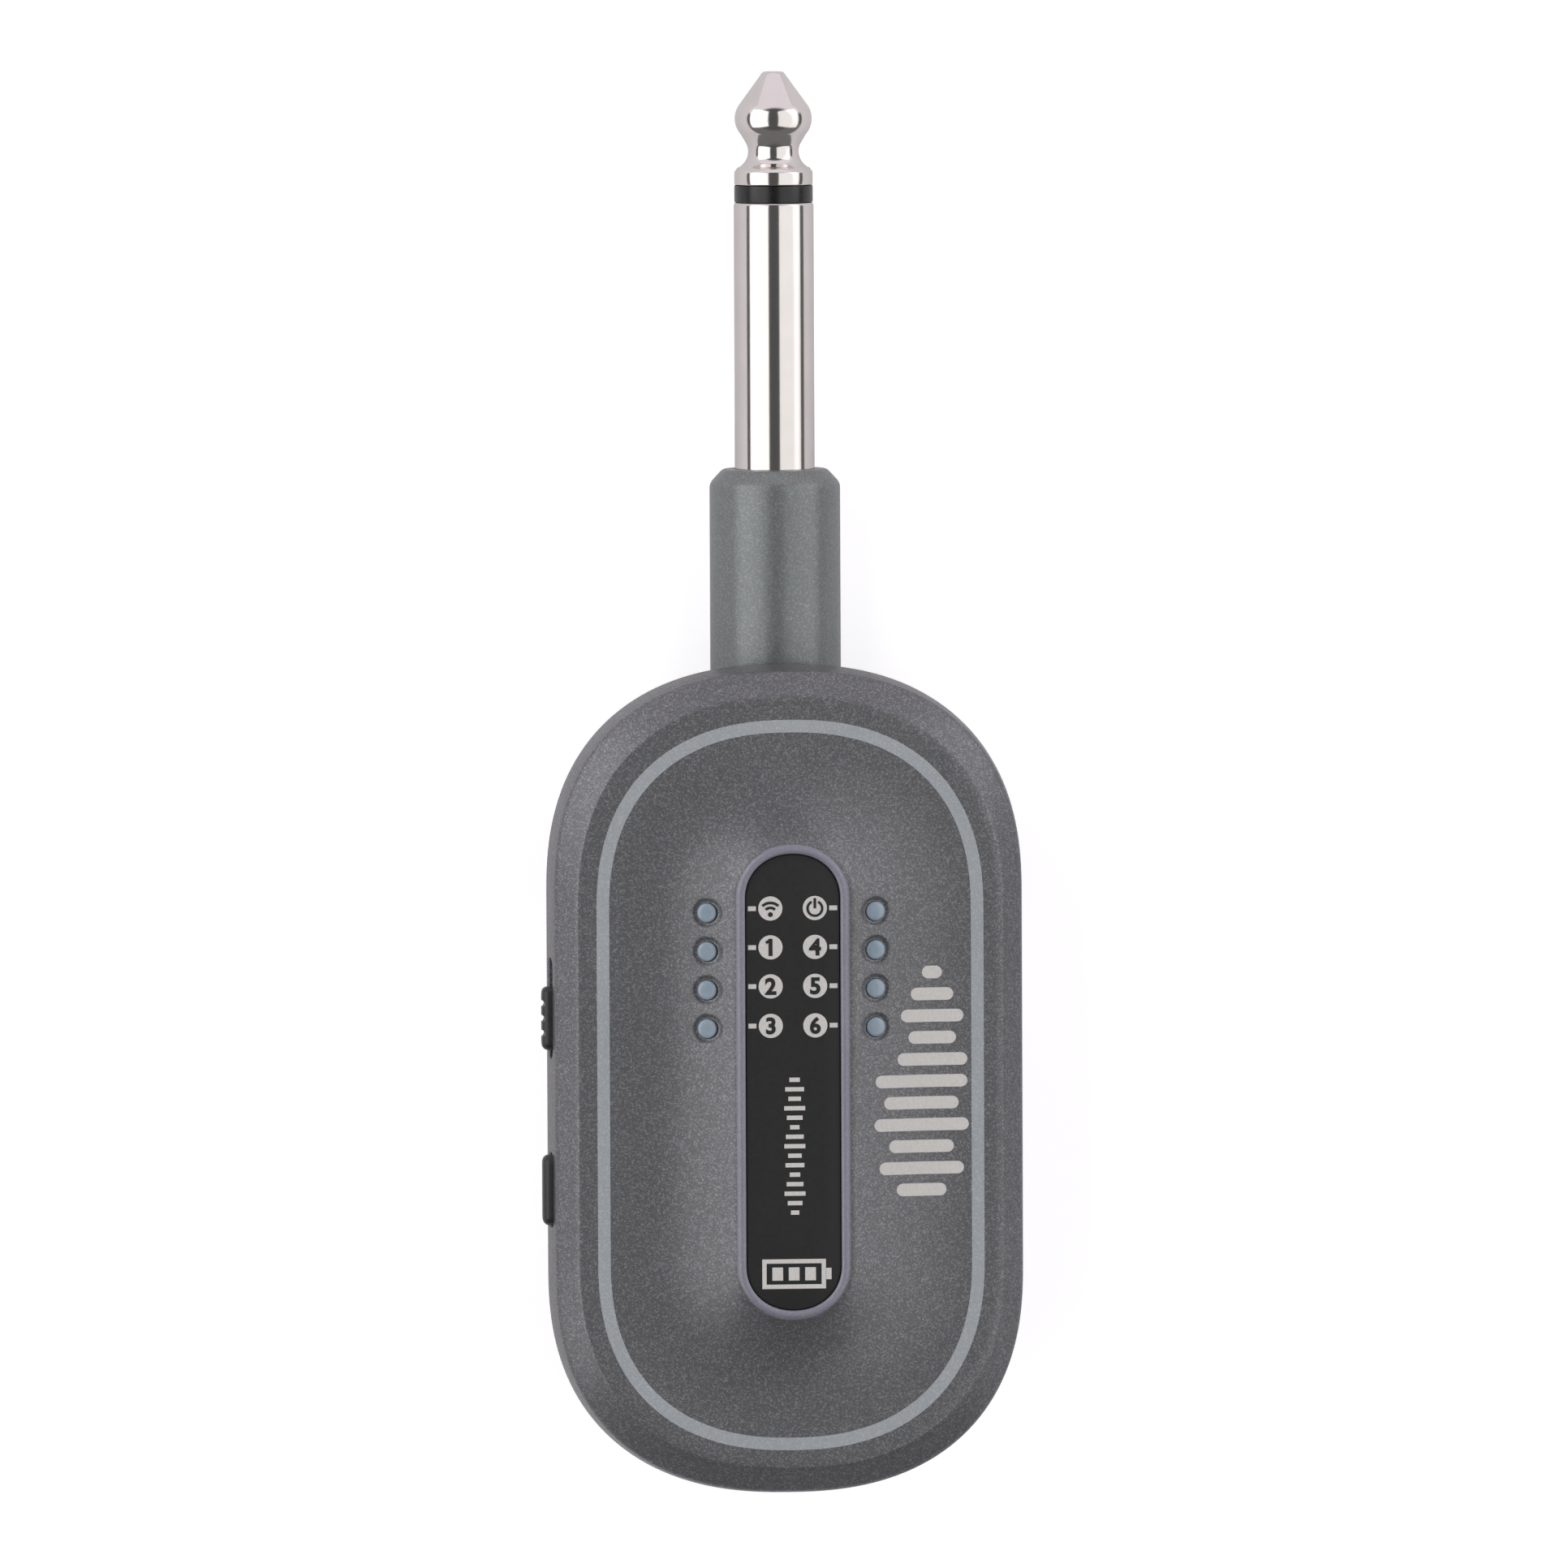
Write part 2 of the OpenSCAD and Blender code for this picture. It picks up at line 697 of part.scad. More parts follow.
// Ground core from the lead's side to the solder tag
module ground_wire() {
    drop = 2.0;
    run = 5.3;
    under_lead = 0.9;
    color([0.10, 0.10, 0.10]) translate([0, shoulder_y + shank_back - tag_t - run, plug_z - under_lead])
        rotate([-90 - atan(drop / run), 0, 0]) cylinder(h = run * 1.03, r = ground_wire_r);
}

// Ribbed knob of the power switch, with the inner flange that closes its slot
module switch_knob() {
    rib = knob_l / 7;
    outer = -half_w - proud;
    color([0.07, 0.07, 0.08]) difference() {
        union() {
            side_pill(outer, -half_w + wall + 0.1, knob_y, control_z, knob_l, control_h);
            translate([-half_w + wall + 0.06, knob_y - 5.2, 12.95]) cube([0.74, 10.4, 2.8]);
        }
        for (i = [-1:1])
            translate([outer - 1, knob_y + i * rib * 2 - rib / 2, 10]) cube([1.25, rib, 10]);
    }
}

module switch_lever() {
    color([0.10, 0.10, 0.11]) translate([-16.5, knob_y - 0.7, board_top + 0.4])
        cube([1.6, 1.4, 0.8]);
}

module channel_button() {
    color([0.07, 0.07, 0.08]) {
        side_pill(-half_w - proud, -half_w + wall + 0.1, button_y, control_z,
            button_l, button_h);
        translate([-half_w + wall + 0.05, button_y - 3.6, 13.1]) cube([0.5, 7.2, 2.6]);
    }
}

module tact_plunger() {
    color([0.12, 0.12, 0.13]) translate([-half_w + wall + 0.55, button_y, board_top + 0.9])
        rotate([0, 90, 0]) cylinder(h = 1.4, r = 0.6);
}

front_shell();
rear_shell();
pivot_plate();
pivot_bush();
label_plate();
light_guide_left();
light_guide_right();
main_board();
indicator_leds();
radio_shield();
chip_antenna();
processor_chip();
audio_chip();
timing_crystal();
small_components();
slide_switch_case();
tact_switch_case();
usb_shell();
usb_base();
battery_cell();
battery_pad();
battery_wire_red();
battery_wire_black();
battery_connector();
shell_screws();
plate_screws();
board_screws();
rear_label();
board_lead();
arm_housing();
arm_cap();
pivot_tube();
pivot_clip();
wave_washer();
friction_washer();
plug_sleeve();
plug_retainer();
core_insulator();
tip_insulator();
plug_tip();
tip_rod();
ground_lug();
tip_lug();
arm_lead();
ground_wire();
switch_knob();
switch_lever();
channel_button();
tact_plunger();
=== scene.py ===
import bmesh
import bpy
import json
import math
from mathutils import Matrix, Vector
from mathutils.geometry import delaunay_2d_cdt


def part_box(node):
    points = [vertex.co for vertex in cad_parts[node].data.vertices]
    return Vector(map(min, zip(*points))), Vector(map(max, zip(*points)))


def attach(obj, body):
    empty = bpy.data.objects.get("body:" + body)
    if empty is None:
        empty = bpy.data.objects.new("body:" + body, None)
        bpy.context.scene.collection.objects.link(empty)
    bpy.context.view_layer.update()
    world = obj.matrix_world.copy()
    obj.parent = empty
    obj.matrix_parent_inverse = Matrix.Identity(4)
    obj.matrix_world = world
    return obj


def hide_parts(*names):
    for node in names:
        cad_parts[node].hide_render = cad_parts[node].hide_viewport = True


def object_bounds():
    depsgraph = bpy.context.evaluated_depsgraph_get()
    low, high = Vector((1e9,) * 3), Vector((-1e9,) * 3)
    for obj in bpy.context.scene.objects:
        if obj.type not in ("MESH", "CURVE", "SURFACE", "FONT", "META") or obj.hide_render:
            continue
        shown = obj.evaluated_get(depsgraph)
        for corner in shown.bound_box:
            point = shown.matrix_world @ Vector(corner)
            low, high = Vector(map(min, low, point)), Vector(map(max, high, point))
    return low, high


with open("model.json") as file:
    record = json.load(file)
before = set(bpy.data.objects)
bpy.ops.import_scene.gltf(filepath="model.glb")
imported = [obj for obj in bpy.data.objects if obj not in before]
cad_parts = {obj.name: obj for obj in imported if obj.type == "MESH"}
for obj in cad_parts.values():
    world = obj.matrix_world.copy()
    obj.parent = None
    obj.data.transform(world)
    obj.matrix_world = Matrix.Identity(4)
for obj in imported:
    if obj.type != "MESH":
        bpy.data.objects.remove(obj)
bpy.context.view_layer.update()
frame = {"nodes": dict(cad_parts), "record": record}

# ---- Camera -------------------------------------------------------------------------------
# A long lens nearly straight over the front, leaning a little to the left and towards the
# plug. It stands 1.7 m away, so there is hardly any perspective.
MM = 0.001
CAMERA_ROUND, CAMERA_UP, CAMERA_ROLL = (math.radians(a) for a in (234.7, 83.57, -0.25))
CAMERA_AWAY = 1.684
AIM_X, AIM_Y, AIM_Z = 0.0003, -0.0002, 0.010
low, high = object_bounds()


def add_object(name, data):
    made = bpy.data.objects.new(name, data)
    bpy.context.scene.collection.objects.link(made)
    return made


camera = add_object("camera", bpy.data.cameras.new("camera"))
back = Vector((math.sin(CAMERA_ROUND) * math.cos(CAMERA_UP),
               -math.cos(CAMERA_ROUND) * math.cos(CAMERA_UP), math.sin(CAMERA_UP)))
aim = Vector((AIM_X, (low.y + high.y) / 2 + AIM_Y, AIM_Z))
camera.location = aim + back * CAMERA_AWAY
sideways = Vector((0, 1, 0)).cross(back).normalized()
upright = back.cross(sideways)
turn = Matrix((sideways, upright, back)).transposed().to_4x4()
camera.rotation_euler = (turn @ Matrix.Rotation(CAMERA_ROLL, 4, "Z")).to_euler()
camera.data.lens = 488.2
camera.data.sensor_width = 36
camera.data.clip_start = 0.1
camera.data.clip_end = 20
bpy.context.scene.camera = camera

# ---- Front shell --------------------------------------------------------------------------
# Injection moulded ABS, sprayed with a satin paint full of fine aluminium flakes. A bevel runs
# round the crowned face, which flares up into the bezel of the label. Each light sits in a dish.
shell_low, shell_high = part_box("front_shell")
label_low, label_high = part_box("label_plate")
guide_low, guide_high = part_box("light_guide_right")
HALF_W = shell_high.x / MM
HALF_L = shell_high.y / MM
SPLIT_Z = shell_low.z / MM
BEZEL_Z = shell_high.z / MM
RIDGE_Z = SPLIT_Z + 6.1
RIM_Z = RIDGE_Z - 1.62
CROWN_Z = BEZEL_Z - 0.25
END_L = 18.0
END_POWER = 2.4
DRAFT = 0.25
RIDGE_W, RIDGE_L, RIDGE_END = HALF_W - 2.03, HALF_L - 2.35, END_L - 1
BEZEL_W = 0.77
LABEL_W = (label_high.x - label_low.x) / MM
LABEL_L = (label_high.y - label_low.y) / MM
LABEL_Y = (label_high.y + label_low.y) / 2 / MM
LIGHT_X = guide_low.x / MM + 1.05
LIGHT_TOP_Y = guide_high.y / MM - 0.98
LIGHT_PITCH = ((guide_high.y - guide_low.y) / MM - 2.2) / 3
LABEL_END, LABEL_POWER = 0.94, 2.1
LENS_R = 0.78
HOLE_R, HOLE_DEEP = LENS_R + 0.05, 1.7
DISH_R, DISH_DEEP, DISH_FLAT = 1.24, 0.27, 0.08
LIGHT_SIDES = 40
CURVE_STEPS = 1200
CORNERS = ((1, 1), (-1, 1), (-1, -1), (1, -1))
lights = [(side * LIGHT_X, LIGHT_TOP_Y - row * LIGHT_PITCH) for side in (-1, 1) for row in range(4)]


def end_curve(half_w, end, power, count):
    """One quarter of a superelliptic end, with its points evenly spaced along it."""
    fine = []
    for i in range(CURVE_STEPS + 1):
        a = math.pi / 2 * i / CURVE_STEPS
        fine.append(Vector((half_w * math.cos(a) ** (2 / power), end * math.sin(a) ** (2 / power))))
    run = [0.0]
    for a, b in zip(fine, fine[1:]):
        run.append(run[-1] + (b - a).length)
    points, j = [], 0
    for i in range(count + 1):
        goal = run[-1] * i / count
        while j < len(run) - 2 and run[j + 1] < goal:
            j += 1
        share = (goal - run[j]) / (run[j + 1] - run[j])
        points.append(fine[j].lerp(fine[j + 1], share))
    return points


def oval(half_w, half_l, end, power=END_POWER, count=44, flank=16):
    """A long oval as points in order: straight flanks between two superelliptic ends."""
    straight = half_l - end
    quarter = [Vector((p.x, straight + p.y)) for p in end_curve(half_w, end, power, count)]
    points = quarter + [Vector((-p.x, p.y)) for p in reversed(quarter[:-1])]
    points += [Vector((-half_w, straight - 2 * straight * i / flank)) for i in range(1, flank)]
    points += [Vector((-p.x, -p.y)) for p in quarter]
    points += [Vector((p.x, -p.y)) for p in reversed(quarter[:-1])]
    points += [Vector((half_w, 2 * straight * i / flank - straight)) for i in range(1, flank)]
    return points


def case_oval(inset):
    return oval(HALF_W - inset, HALF_L - inset, END_L - inset)


def label_oval(grow):
    end = LABEL_W / 2 * LABEL_END + grow
    points = oval(LABEL_W / 2 + grow, LABEL_L / 2 + grow, end, LABEL_POWER)
    return [p + Vector((0, LABEL_Y)) for p in points]


def between(a, b, share):
    return [p.lerp(q, share) for p, q in zip(a, b)]


def at_height(points, z):
    return [Vector((p.x, p.y, z)) for p in points]


ridge = oval(RIDGE_W, RIDGE_L, RIDGE_END)
bezel_foot = label_oval(BEZEL_W)


def crown_height(x, y):
    """Height of the face: nearly level inside the ridge, then flaring up to the bezel."""
    past = max(abs(y) - (RIDGE_L - RIDGE_END), 0) / RIDGE_END
    gauge = ((abs(x) / RIDGE_W) ** END_POWER + past ** END_POWER) ** (1 / END_POWER)
    inward = max(1 - gauge, 0) * RIDGE_W
    middle = max(abs(y - LABEL_Y) - (LABEL_L - LABEL_W) / 2, 0)
    outward = max(math.hypot(x, middle) - LABEL_W / 2 - BEZEL_W, 0)
    t = inward / max(inward + outward, 1e-9)
    rise = 0.55 * t ** 2.6 + 0.39 * t ** 4.2 + 0.06 * t - 0.05 * math.sin(math.pi * t) ** 2
    return RIDGE_Z + (CROWN_Z - RIDGE_Z) * rise


def face_height(x, y):
    """The crown with the dish round each light pressed into it."""
    z = crown_height(x, y)
    for cx, cy in lights:
        away = math.hypot(x - cx, y - cy)
        if away < DISH_R:
            share = min(max((DISH_R - away) / (DISH_R - LENS_R - DISH_FLAT), 0), 1)
            z -= DISH_DEEP * (share * share * (3 - 2 * share))
    return z


class Solid:
    """Collects the points and faces of one piece, in millimetres."""

    def __init__(self):
        self.points, self.faces = [], []

    def ring(self, points):
        start = len(self.points)
        self.points += [Vector(p) for p in points]
        return list(range(start, start + len(points)))

    def skin(self, a, b):
        n = len(a)
        self.faces += [(a[i], a[(i + 1) % n], b[(i + 1) % n], b[i]) for i in range(n)]

    def loft(self, rows, close_start=False, close_end=False):
        rings = [self.ring(r) for r in rows]
        for a, b in zip(rings, rings[1:]):
            self.skin(a, b)
        if close_start:
            self.cap(rings[0])
        if close_end:
            self.cap(rings[-1])
        return rings

    def cap(self, ring):
        """Closes a ring with smaller and smaller rings, so that no face is a long sliver."""
        centre = sum((self.points[i] for i in ring), Vector()) / len(ring)
        last = ring
        for share in (0.35, 0.7):
            inner = self.ring([self.points[i].lerp(centre, share) for i in ring])
            self.skin(last, inner)
            last = inner
        middle = self.ring([centre])[0]
        n = len(last)
        self.faces += [(last[i], last[(i + 1) % n], middle) for i in range(n)]

    def piece(self, name, material=None, body=None, slot=None, replaced=(), sharp=35, merge=0.0008):
        mesh = bpy.data.meshes.new(name)
        mesh.from_pydata([p * MM for p in self.points], [], self.faces)
        work = bmesh.new()
        work.from_mesh(mesh)
        bmesh.ops.remove_doubles(work, verts=work.verts, dist=merge * MM)
        bmesh.ops.recalc_face_normals(work, faces=work.faces)
        work.to_mesh(mesh)
        work.free()
        obj = add_object(name, mesh)
        if material:
            mesh.materials.append(material)
        shade(obj, sharp)
        if body:
            place_piece(obj, sharp, body, slot, *replaced)
        return obj


def shade(obj, sharp):
    obj.data.shade_smooth()
    obj.data.set_sharp_from_angle(angle=math.radians(sharp))


def place_piece(obj, sharp, body, slot, *replaced):
    """Shades a finished piece, hangs it on the body that carries it and hides the designed parts it stands
    for; slot is not used.
    """
    shade(obj, sharp)
    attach(obj, body)
    if replaced:
        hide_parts(*replaced)


def carve(obj, cutter, operation="DIFFERENCE"):
    """Cuts one solid out of another, or joins them, and throws the cutter away."""
    tool = cutter.piece("cut")
    step = obj.modifiers.new("carve", "BOOLEAN")
    step.operation = operation
    step.solver = "EXACT"
    step.object = tool
    bpy.context.view_layer.update()
    graph = bpy.context.evaluated_depsgraph_get()
    carved = bpy.data.meshes.new_from_object(obj.evaluated_get(graph))
    obj.modifiers.clear()
    old = obj.data
    obj.data = carved
    carved.name = old.name
    bpy.data.meshes.remove(old)
    bpy.data.objects.remove(tool)


def node(tree, kind, at=(0, 0), **sets):
    made = tree.nodes.new(kind)
    made.location = at
    for key, value in sets.items():
        setattr(made, key, value)
    return made


def wire(tree, source, out, target, into):
    tree.links.new(source.outputs[out], target.inputs[into])


def set_inputs(part, values):
    for key, value in values.items():
        part.inputs[key].default_value = value


def new_group(name, colors, values):
    """A node group that is given colours and values, and puts out colour, roughness and height."""
    group = bpy.data.node_groups.new(name, "ShaderNodeTree")
    sockets = [(title, "INPUT", "NodeSocketColor") for title in colors]
    sockets += [(title, "INPUT", "NodeSocketFloat") for title in values]
    sockets += [("Color", "OUTPUT", "NodeSocketColor"), ("Roughness", "OUTPUT", "NodeSocketFloat"),
                ("Height", "OUTPUT", "NodeSocketFloat")]
    for title, way, kind in sockets:
        group.interface.new_socket(title, in_out=way, socket_type=kind)
    return group, node(group, "NodeGroupInput", (-900, 0)), node(group, "NodeGroupOutput", (700, 0))


def make_flake_group():
    """Metal flakes in paint: each a lighter metal, brightened at random as a painted glint for its tilt."""
    group, given, out = new_group("flake_paint", ("Paint", "Flake"),
                                  ("Amount", "Flakes per metre", "Roughness"))
    place = node(group, "ShaderNodeTexCoord", (-900, -300))
    flakes = node(group, "ShaderNodeTexVoronoi", (-650, -100), feature="F1")
    wire(group, place, "Object", flakes, "Vector")
    wire(group, given, "Flakes per metre", flakes, "Scale")
    parts = node(group, "ShaderNodeSeparateColor", (-450, -100))
    wire(group, flakes, "Color", parts, "Color")
    # Painted glint: each flake gets a random share of the flake colour, standing in for how its tilt catches
    # the light.
    bright = node(group, "ShaderNodeMath", (-250, -100), operation="POWER")
    bright.inputs[1].default_value = 3.2
    wire(group, parts, "Red", bright, 0)
    share = node(group, "ShaderNodeMath", (-80, -60), operation="MULTIPLY", use_clamp=True)
    wire(group, bright, "Value", share, 0)
    wire(group, given, "Amount", share, 1)
    cloud = node(group, "ShaderNodeTexNoise", (-650, -400))
    set_inputs(cloud, {"Scale": 160, "Detail": 3})
    wire(group, place, "Object", cloud, "Vector")
    mix = node(group, "ShaderNodeMix", (120, 100), data_type="RGBA")
    wire(group, share, "Value", mix, "Factor")
    wire(group, given, "Paint", mix, 6)
    wire(group, given, "Flake", mix, 7)
    tone = node(group, "ShaderNodeMapRange", (120, -300))
    set_inputs(tone, {"To Min": 0.93, "To Max": 1.07})
    wire(group, cloud, "Fac", tone, "Value")
    toned = node(group, "ShaderNodeVectorMath", (320, 60), operation="SCALE")
    wire(group, mix, 2, toned, 0)
    wire(group, tone, "Result", toned, "Scale")
    wire(group, toned, "Vector", out, "Color")
    uneven = node(group, "ShaderNodeMath", (320, -120), operation="MULTIPLY_ADD")
    uneven.inputs[1].default_value = 0.12
    wire(group, parts, "Green", uneven, 0)
    wire(group, given, "Roughness", uneven, 2)
    wire(group, uneven, "Value", out, "Roughness")
    wire(group, parts, "Blue", out, "Height")
    return group


flake_group = make_flake_group()


def principled(name):
    material = bpy.data.materials.new(name)
    material.use_nodes = True
    return material, material.node_tree, material.node_tree.nodes["Principled BSDF"]


def from_group(name, group_tree, values, grain, depth, shader_values):
    """A material whose colour, roughness and height come out of one node group."""
    material, tree, shader = principled(name)
    group = node(tree, "ShaderNodeGroup", (-500, 0), node_tree=group_tree)
    set_inputs(group, values)
    bump = node(tree, "ShaderNodeBump", (-250, -250))
    set_inputs(bump, {"Strength": grain, "Distance": depth})
    wire(tree, group, "Height", bump, "Height")
    wire(tree, group, "Color", shader, "Base Color")
    wire(tree, group, "Roughness", shader, "Roughness")
    wire(tree, bump, "Normal", shader, "Normal")
    set_inputs(shader, shader_values)
    return material


def flake_paint(name, paint, flake, amount=0.5, roughness=0.42, metallic=0.6, grain=0.07, size=0.1):
    """Satin paint with metal flakes of that size in millimetres."""
    values = {"Paint": (*paint, 1), "Flake": (*flake, 1), "Amount": amount,
              "Flakes per metre": 1000 / size, "Roughness": roughness}
    return from_group(name, flake_group, values, grain, 0.00004,
                      {"Metallic": metallic, "Coat Weight": 0.45, "Coat Roughness": 0.24})


shell_paint = flake_paint("shell_paint", (0.113, 0.114, 0.121), (0.38, 0.38, 0.40))
bezel_paint = flake_paint("bezel_paint", (0.225, 0.222, 0.27), (0.36, 0.36, 0.42), 0.4, 0.5, 0.4)

front = Solid()
inner_rows = [(1.5, 16.0), (3.3, 16.6)]
inside = [at_height(label_oval(BEZEL_W), BEZEL_Z - 1.9),
          at_height(between(case_oval(3.3), label_oval(BEZEL_W), 0.35), RIDGE_Z - 0.75)]
inside += [at_height(case_oval(inset), z) for inset, z in reversed(inner_rows)]
inside += [at_height(case_oval(1.5), SPLIT_Z + 0.08), at_height(case_oval(1.42), SPLIT_Z)]
wall_rows = [(0.16, SPLIT_Z), (0.05, SPLIT_Z + 0.05), (0.0, SPLIT_Z + 0.16), (0.0, SPLIT_Z + 0.8),
             (0.02, SPLIT_Z + 1.6), (0.07, SPLIT_Z + 2.5), (0.14, SPLIT_Z + 3.3), (0.2, SPLIT_Z + 3.8),
             (DRAFT, RIM_Z - 0.36)]
outside = [at_height(case_oval(inset), z) for inset, z in wall_rows]
rim_share = ((0.006, -0.2), (0.022, -0.05), (0.05, 0.08), (0.09, 0.18), (0.14, 0.27), (0.25, 0.45),
             (0.4, 0.69), (0.55, 0.93), (0.7, 1.18), (0.83, 1.39), (0.9, 1.5), (0.94, 1.555),
             (0.97, 1.593), (0.988, 1.612), (1.0, 1.62))
outside += [at_height(between(case_oval(DRAFT), ridge, share), RIM_Z + rise)
            for share, rise in rim_share]
front.loft(inside + outside, close_start=True)

# The crowned face: rows of points between the ridge and the bezel, and rings round each light
ROWS = 22
LIGHT_RINGS = (HOLE_R, 0.84, 0.9, 0.97, 1.04, 1.12, 1.2, 1.3, 1.45, 1.7)
flat, kinds, edges = [], [], []


def add_loop(points, kind):
    start = len(flat)
    flat.extend(points)
    kinds.extend([kind] * len(points))
    edges.extend((start + i, start + (i + 1) % len(points)) for i in range(len(points)))


def circle(cx, cy, r):
    turns = [math.tau * i / LIGHT_SIDES for i in range(LIGHT_SIDES)]
    return [(cx + r * math.cos(t), cy + r * math.sin(t)) for t in turns]


add_loop(ridge, "ridge")
add_loop(bezel_foot, "bezel")
for k, (cx, cy) in enumerate(lights):
    for r in LIGHT_RINGS:
        turned = [Vector(p) for p in circle(cx, cy, r)]
        if r == HOLE_R:
            add_loop(turned, f"hole {k}")
        else:
            keep = [p for p in turned if min((p - Vector(c)).length for c in lights) > r - 1e-4]
            flat.extend(keep)
            kinds.extend(["dish"] * len(keep))
for row in range(1, ROWS):
    for p in between(ridge, bezel_foot, row / ROWS):
        if min((p - Vector(c)).length for c in lights) > LIGHT_RINGS[-1] + 0.2:
            flat.append(p)
            kinds.append("crown")
cdt_points, _, cdt_faces, cdt_from, _, _ = delaunay_2d_cdt(flat, edges, [], 0, 1e-5)
owner = [kinds[ids[0]] if ids else "crown" for ids in cdt_from]
base = len(front.points)
for p, kind in zip(cdt_points, owner):
    z = RIDGE_Z if kind == "ridge" else CROWN_Z if kind == "bezel" else face_height(p.x, p.y)
    front.points.append(Vector((p.x, p.y, z)))
for face in cdt_faces:
    owners = {owner[i] for i in face}
    if len(owners) == 1 and (owners == {"bezel"} or "hole" in next(iter(owners))):
        continue
    front.faces.append(tuple(base + i for i in face))
for cx, cy in lights:
    around = circle(cx, cy, HOLE_R)
    top = [Vector((x, y, face_height(x, y))) for x, y in around]
    front.loft([top, [Vector((x, y, BEZEL_Z - HOLE_DEEP)) for x, y in around]], close_end=True)
lip_rows = ((BEZEL_W, CROWN_Z), (BEZEL_W - 0.06, CROWN_Z + 0.1), (BEZEL_W - 0.17, CROWN_Z + 0.19),
            (BEZEL_W - 0.32, CROWN_Z + 0.245), (0.3, CROWN_Z + 0.25), (0.17, CROWN_Z + 0.22),
            (0.08, CROWN_Z + 0.15), (0.04, CROWN_Z + 0.04), (0.03, BEZEL_Z - 0.88))
front.loft([at_height(label_oval(grow), z) for grow, z in lip_rows], close_end=True)
front_shell = front.piece("front_shell_skin", shell_paint, merge=0.003)


def round_corners(a, b, r, cx=0.0, cy=0.0):
    """A rectangle of half sizes a and b, with round corners of radius r outside it."""
    points = []
    for k, (sx, sy) in enumerate(CORNERS):
        for i in range(9):
            t = math.pi / 2 * (k + i / 8)
            points.append((cx + sx * a + r * math.cos(t), cy + sy * b + r * math.sin(t)))
    return points


def pill(length, height, grow=0.0):
    """Points of a lozenge with round corners, as (along, up)."""
    r = min(height, length) * 0.35 + grow
    return round_corners(length / 2 + grow - r, height / 2 + grow - r, r)


def side_loft(rows, y, z, length, height):
    """A solid lozenge along X, from (x, how much larger) rows."""
    body = Solid()
    body.loft([[Vector((x, y + a, z + b)) for a, b in pill(length, height, grow)] for x, grow in rows],
              close_start=True, close_end=True)
    return body


knob_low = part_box("switch_knob")[0]
key_low, key_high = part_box("channel_button")
usb_low, usb_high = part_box("usb_shell")
KNOB_Y, KNOB_L, KNOB_TRAVEL = 5.1, 5.05, 1.8
CONTROL_Z, CONTROL_H = 14.4, 2.0
BUTTON_Y = (key_low.y + key_high.y) / 2 / MM
BUTTON_L, BUTTON_H = 5.6, 2.2
USB_Y, USB_Z = (usb_low.y + usb_high.y) / 2 / MM, (usb_low.z + usb_high.z) / 2 / MM
USB_W, USB_H = (usb_high.y - usb_low.y) / MM, (usb_high.z - usb_low.z) / MM
flare = ((-HALF_W - 3, 0.14), (-HALF_W - 0.001, 0.14), (-HALF_W + 0.14, 0), (-HALF_W + 2.6, 0))
SLOT_SPARE, PORT_SPARE = 0.3, 0.5
usb_cut = side_loft([(-x, grow) for x, grow in flare], USB_Y, USB_Z, USB_W + PORT_SPARE,
                    USB_H + PORT_SPARE)
knob_cut = side_loft(flare, KNOB_Y + KNOB_TRAVEL / 2 - 0.1, CONTROL_Z, KNOB_L + KNOB_TRAVEL + 1.1,
                     CONTROL_H + SLOT_SPARE)
button_cut = side_loft(flare, BUTTON_Y, CONTROL_Z, BUTTON_L + SLOT_SPARE, BUTTON_H + SLOT_SPARE)
for cut in (knob_cut, button_cut, usb_cut):
    carve(front_shell, cut)
front_shell.data.materials.append(bezel_paint)
for face in front_shell.data.polygons:
    x, y, z = face.center / MM
    lip = math.hypot(x, max(abs(y - LABEL_Y) - (LABEL_L - LABEL_W) / 2, 0)) - LABEL_W / 2
    if z > CROWN_Z - 0.02 and 0 < lip < BEZEL_W + 0.06:
        face.material_index = 1
place_piece(front_shell, 32, "case", "shell_paint", "front_shell")

# ---- Print on the front -------------------------------------------------------------------
# Silver ink, pad printed in a thin line parallel to the rim, and a plain row of sound bars in
# warm white ink beside the label. The ink stands a few hundredths of a millimetre proud.
silver_ink = flake_paint("silver_ink", (0.345, 0.365, 0.385), (0.56, 0.58, 0.60), 0.5, 0.5, 0.3)
INK = 0.02


def surface(name, low_color, high_color, scale, roughness, shader_values=None):
    """A plain surface that is a little uneven, so that its tone and its gloss drift."""
    material, tree, shader = principled(name)
    place = node(tree, "ShaderNodeTexCoord", (-900, 0))
    noise = node(tree, "ShaderNodeTexNoise", (-700, 0))
    set_inputs(noise, {"Scale": scale, "Detail": 4})
    ramp = node(tree, "ShaderNodeValToRGB", (-450, 0))
    ramp.color_ramp.elements[0].color = (*low_color, 1)
    ramp.color_ramp.elements[1].color = (*high_color, 1)
    ramp.color_ramp.elements[0].position = 0.3
    ramp.color_ramp.elements[1].position = 0.7
    span = node(tree, "ShaderNodeMapRange", (-450, -250))
    set_inputs(span, {"To Min": roughness - 0.06, "To Max": roughness + 0.06})
    bump = node(tree, "ShaderNodeBump", (-250, -350))
    set_inputs(bump, {"Strength": 0.08, "Distance": 0.00003})
    wire(tree, place, "Object", noise, "Vector")
    wire(tree, noise, "Fac", ramp, "Fac")
    wire(tree, noise, "Fac", span, "Value")
    wire(tree, noise, "Fac", bump, "Height")
    wire(tree, ramp, "Color", shader, "Base Color")
    wire(tree, span, "Result", shader, "Roughness")
    wire(tree, bump, "Normal", shader, "Normal")
    set_inputs(shader, shader_values or {})
    return material


white_ink = surface("white_ink", (0.56, 0.54, 0.52), (0.64, 0.62, 0.60), 5000, 0.55)


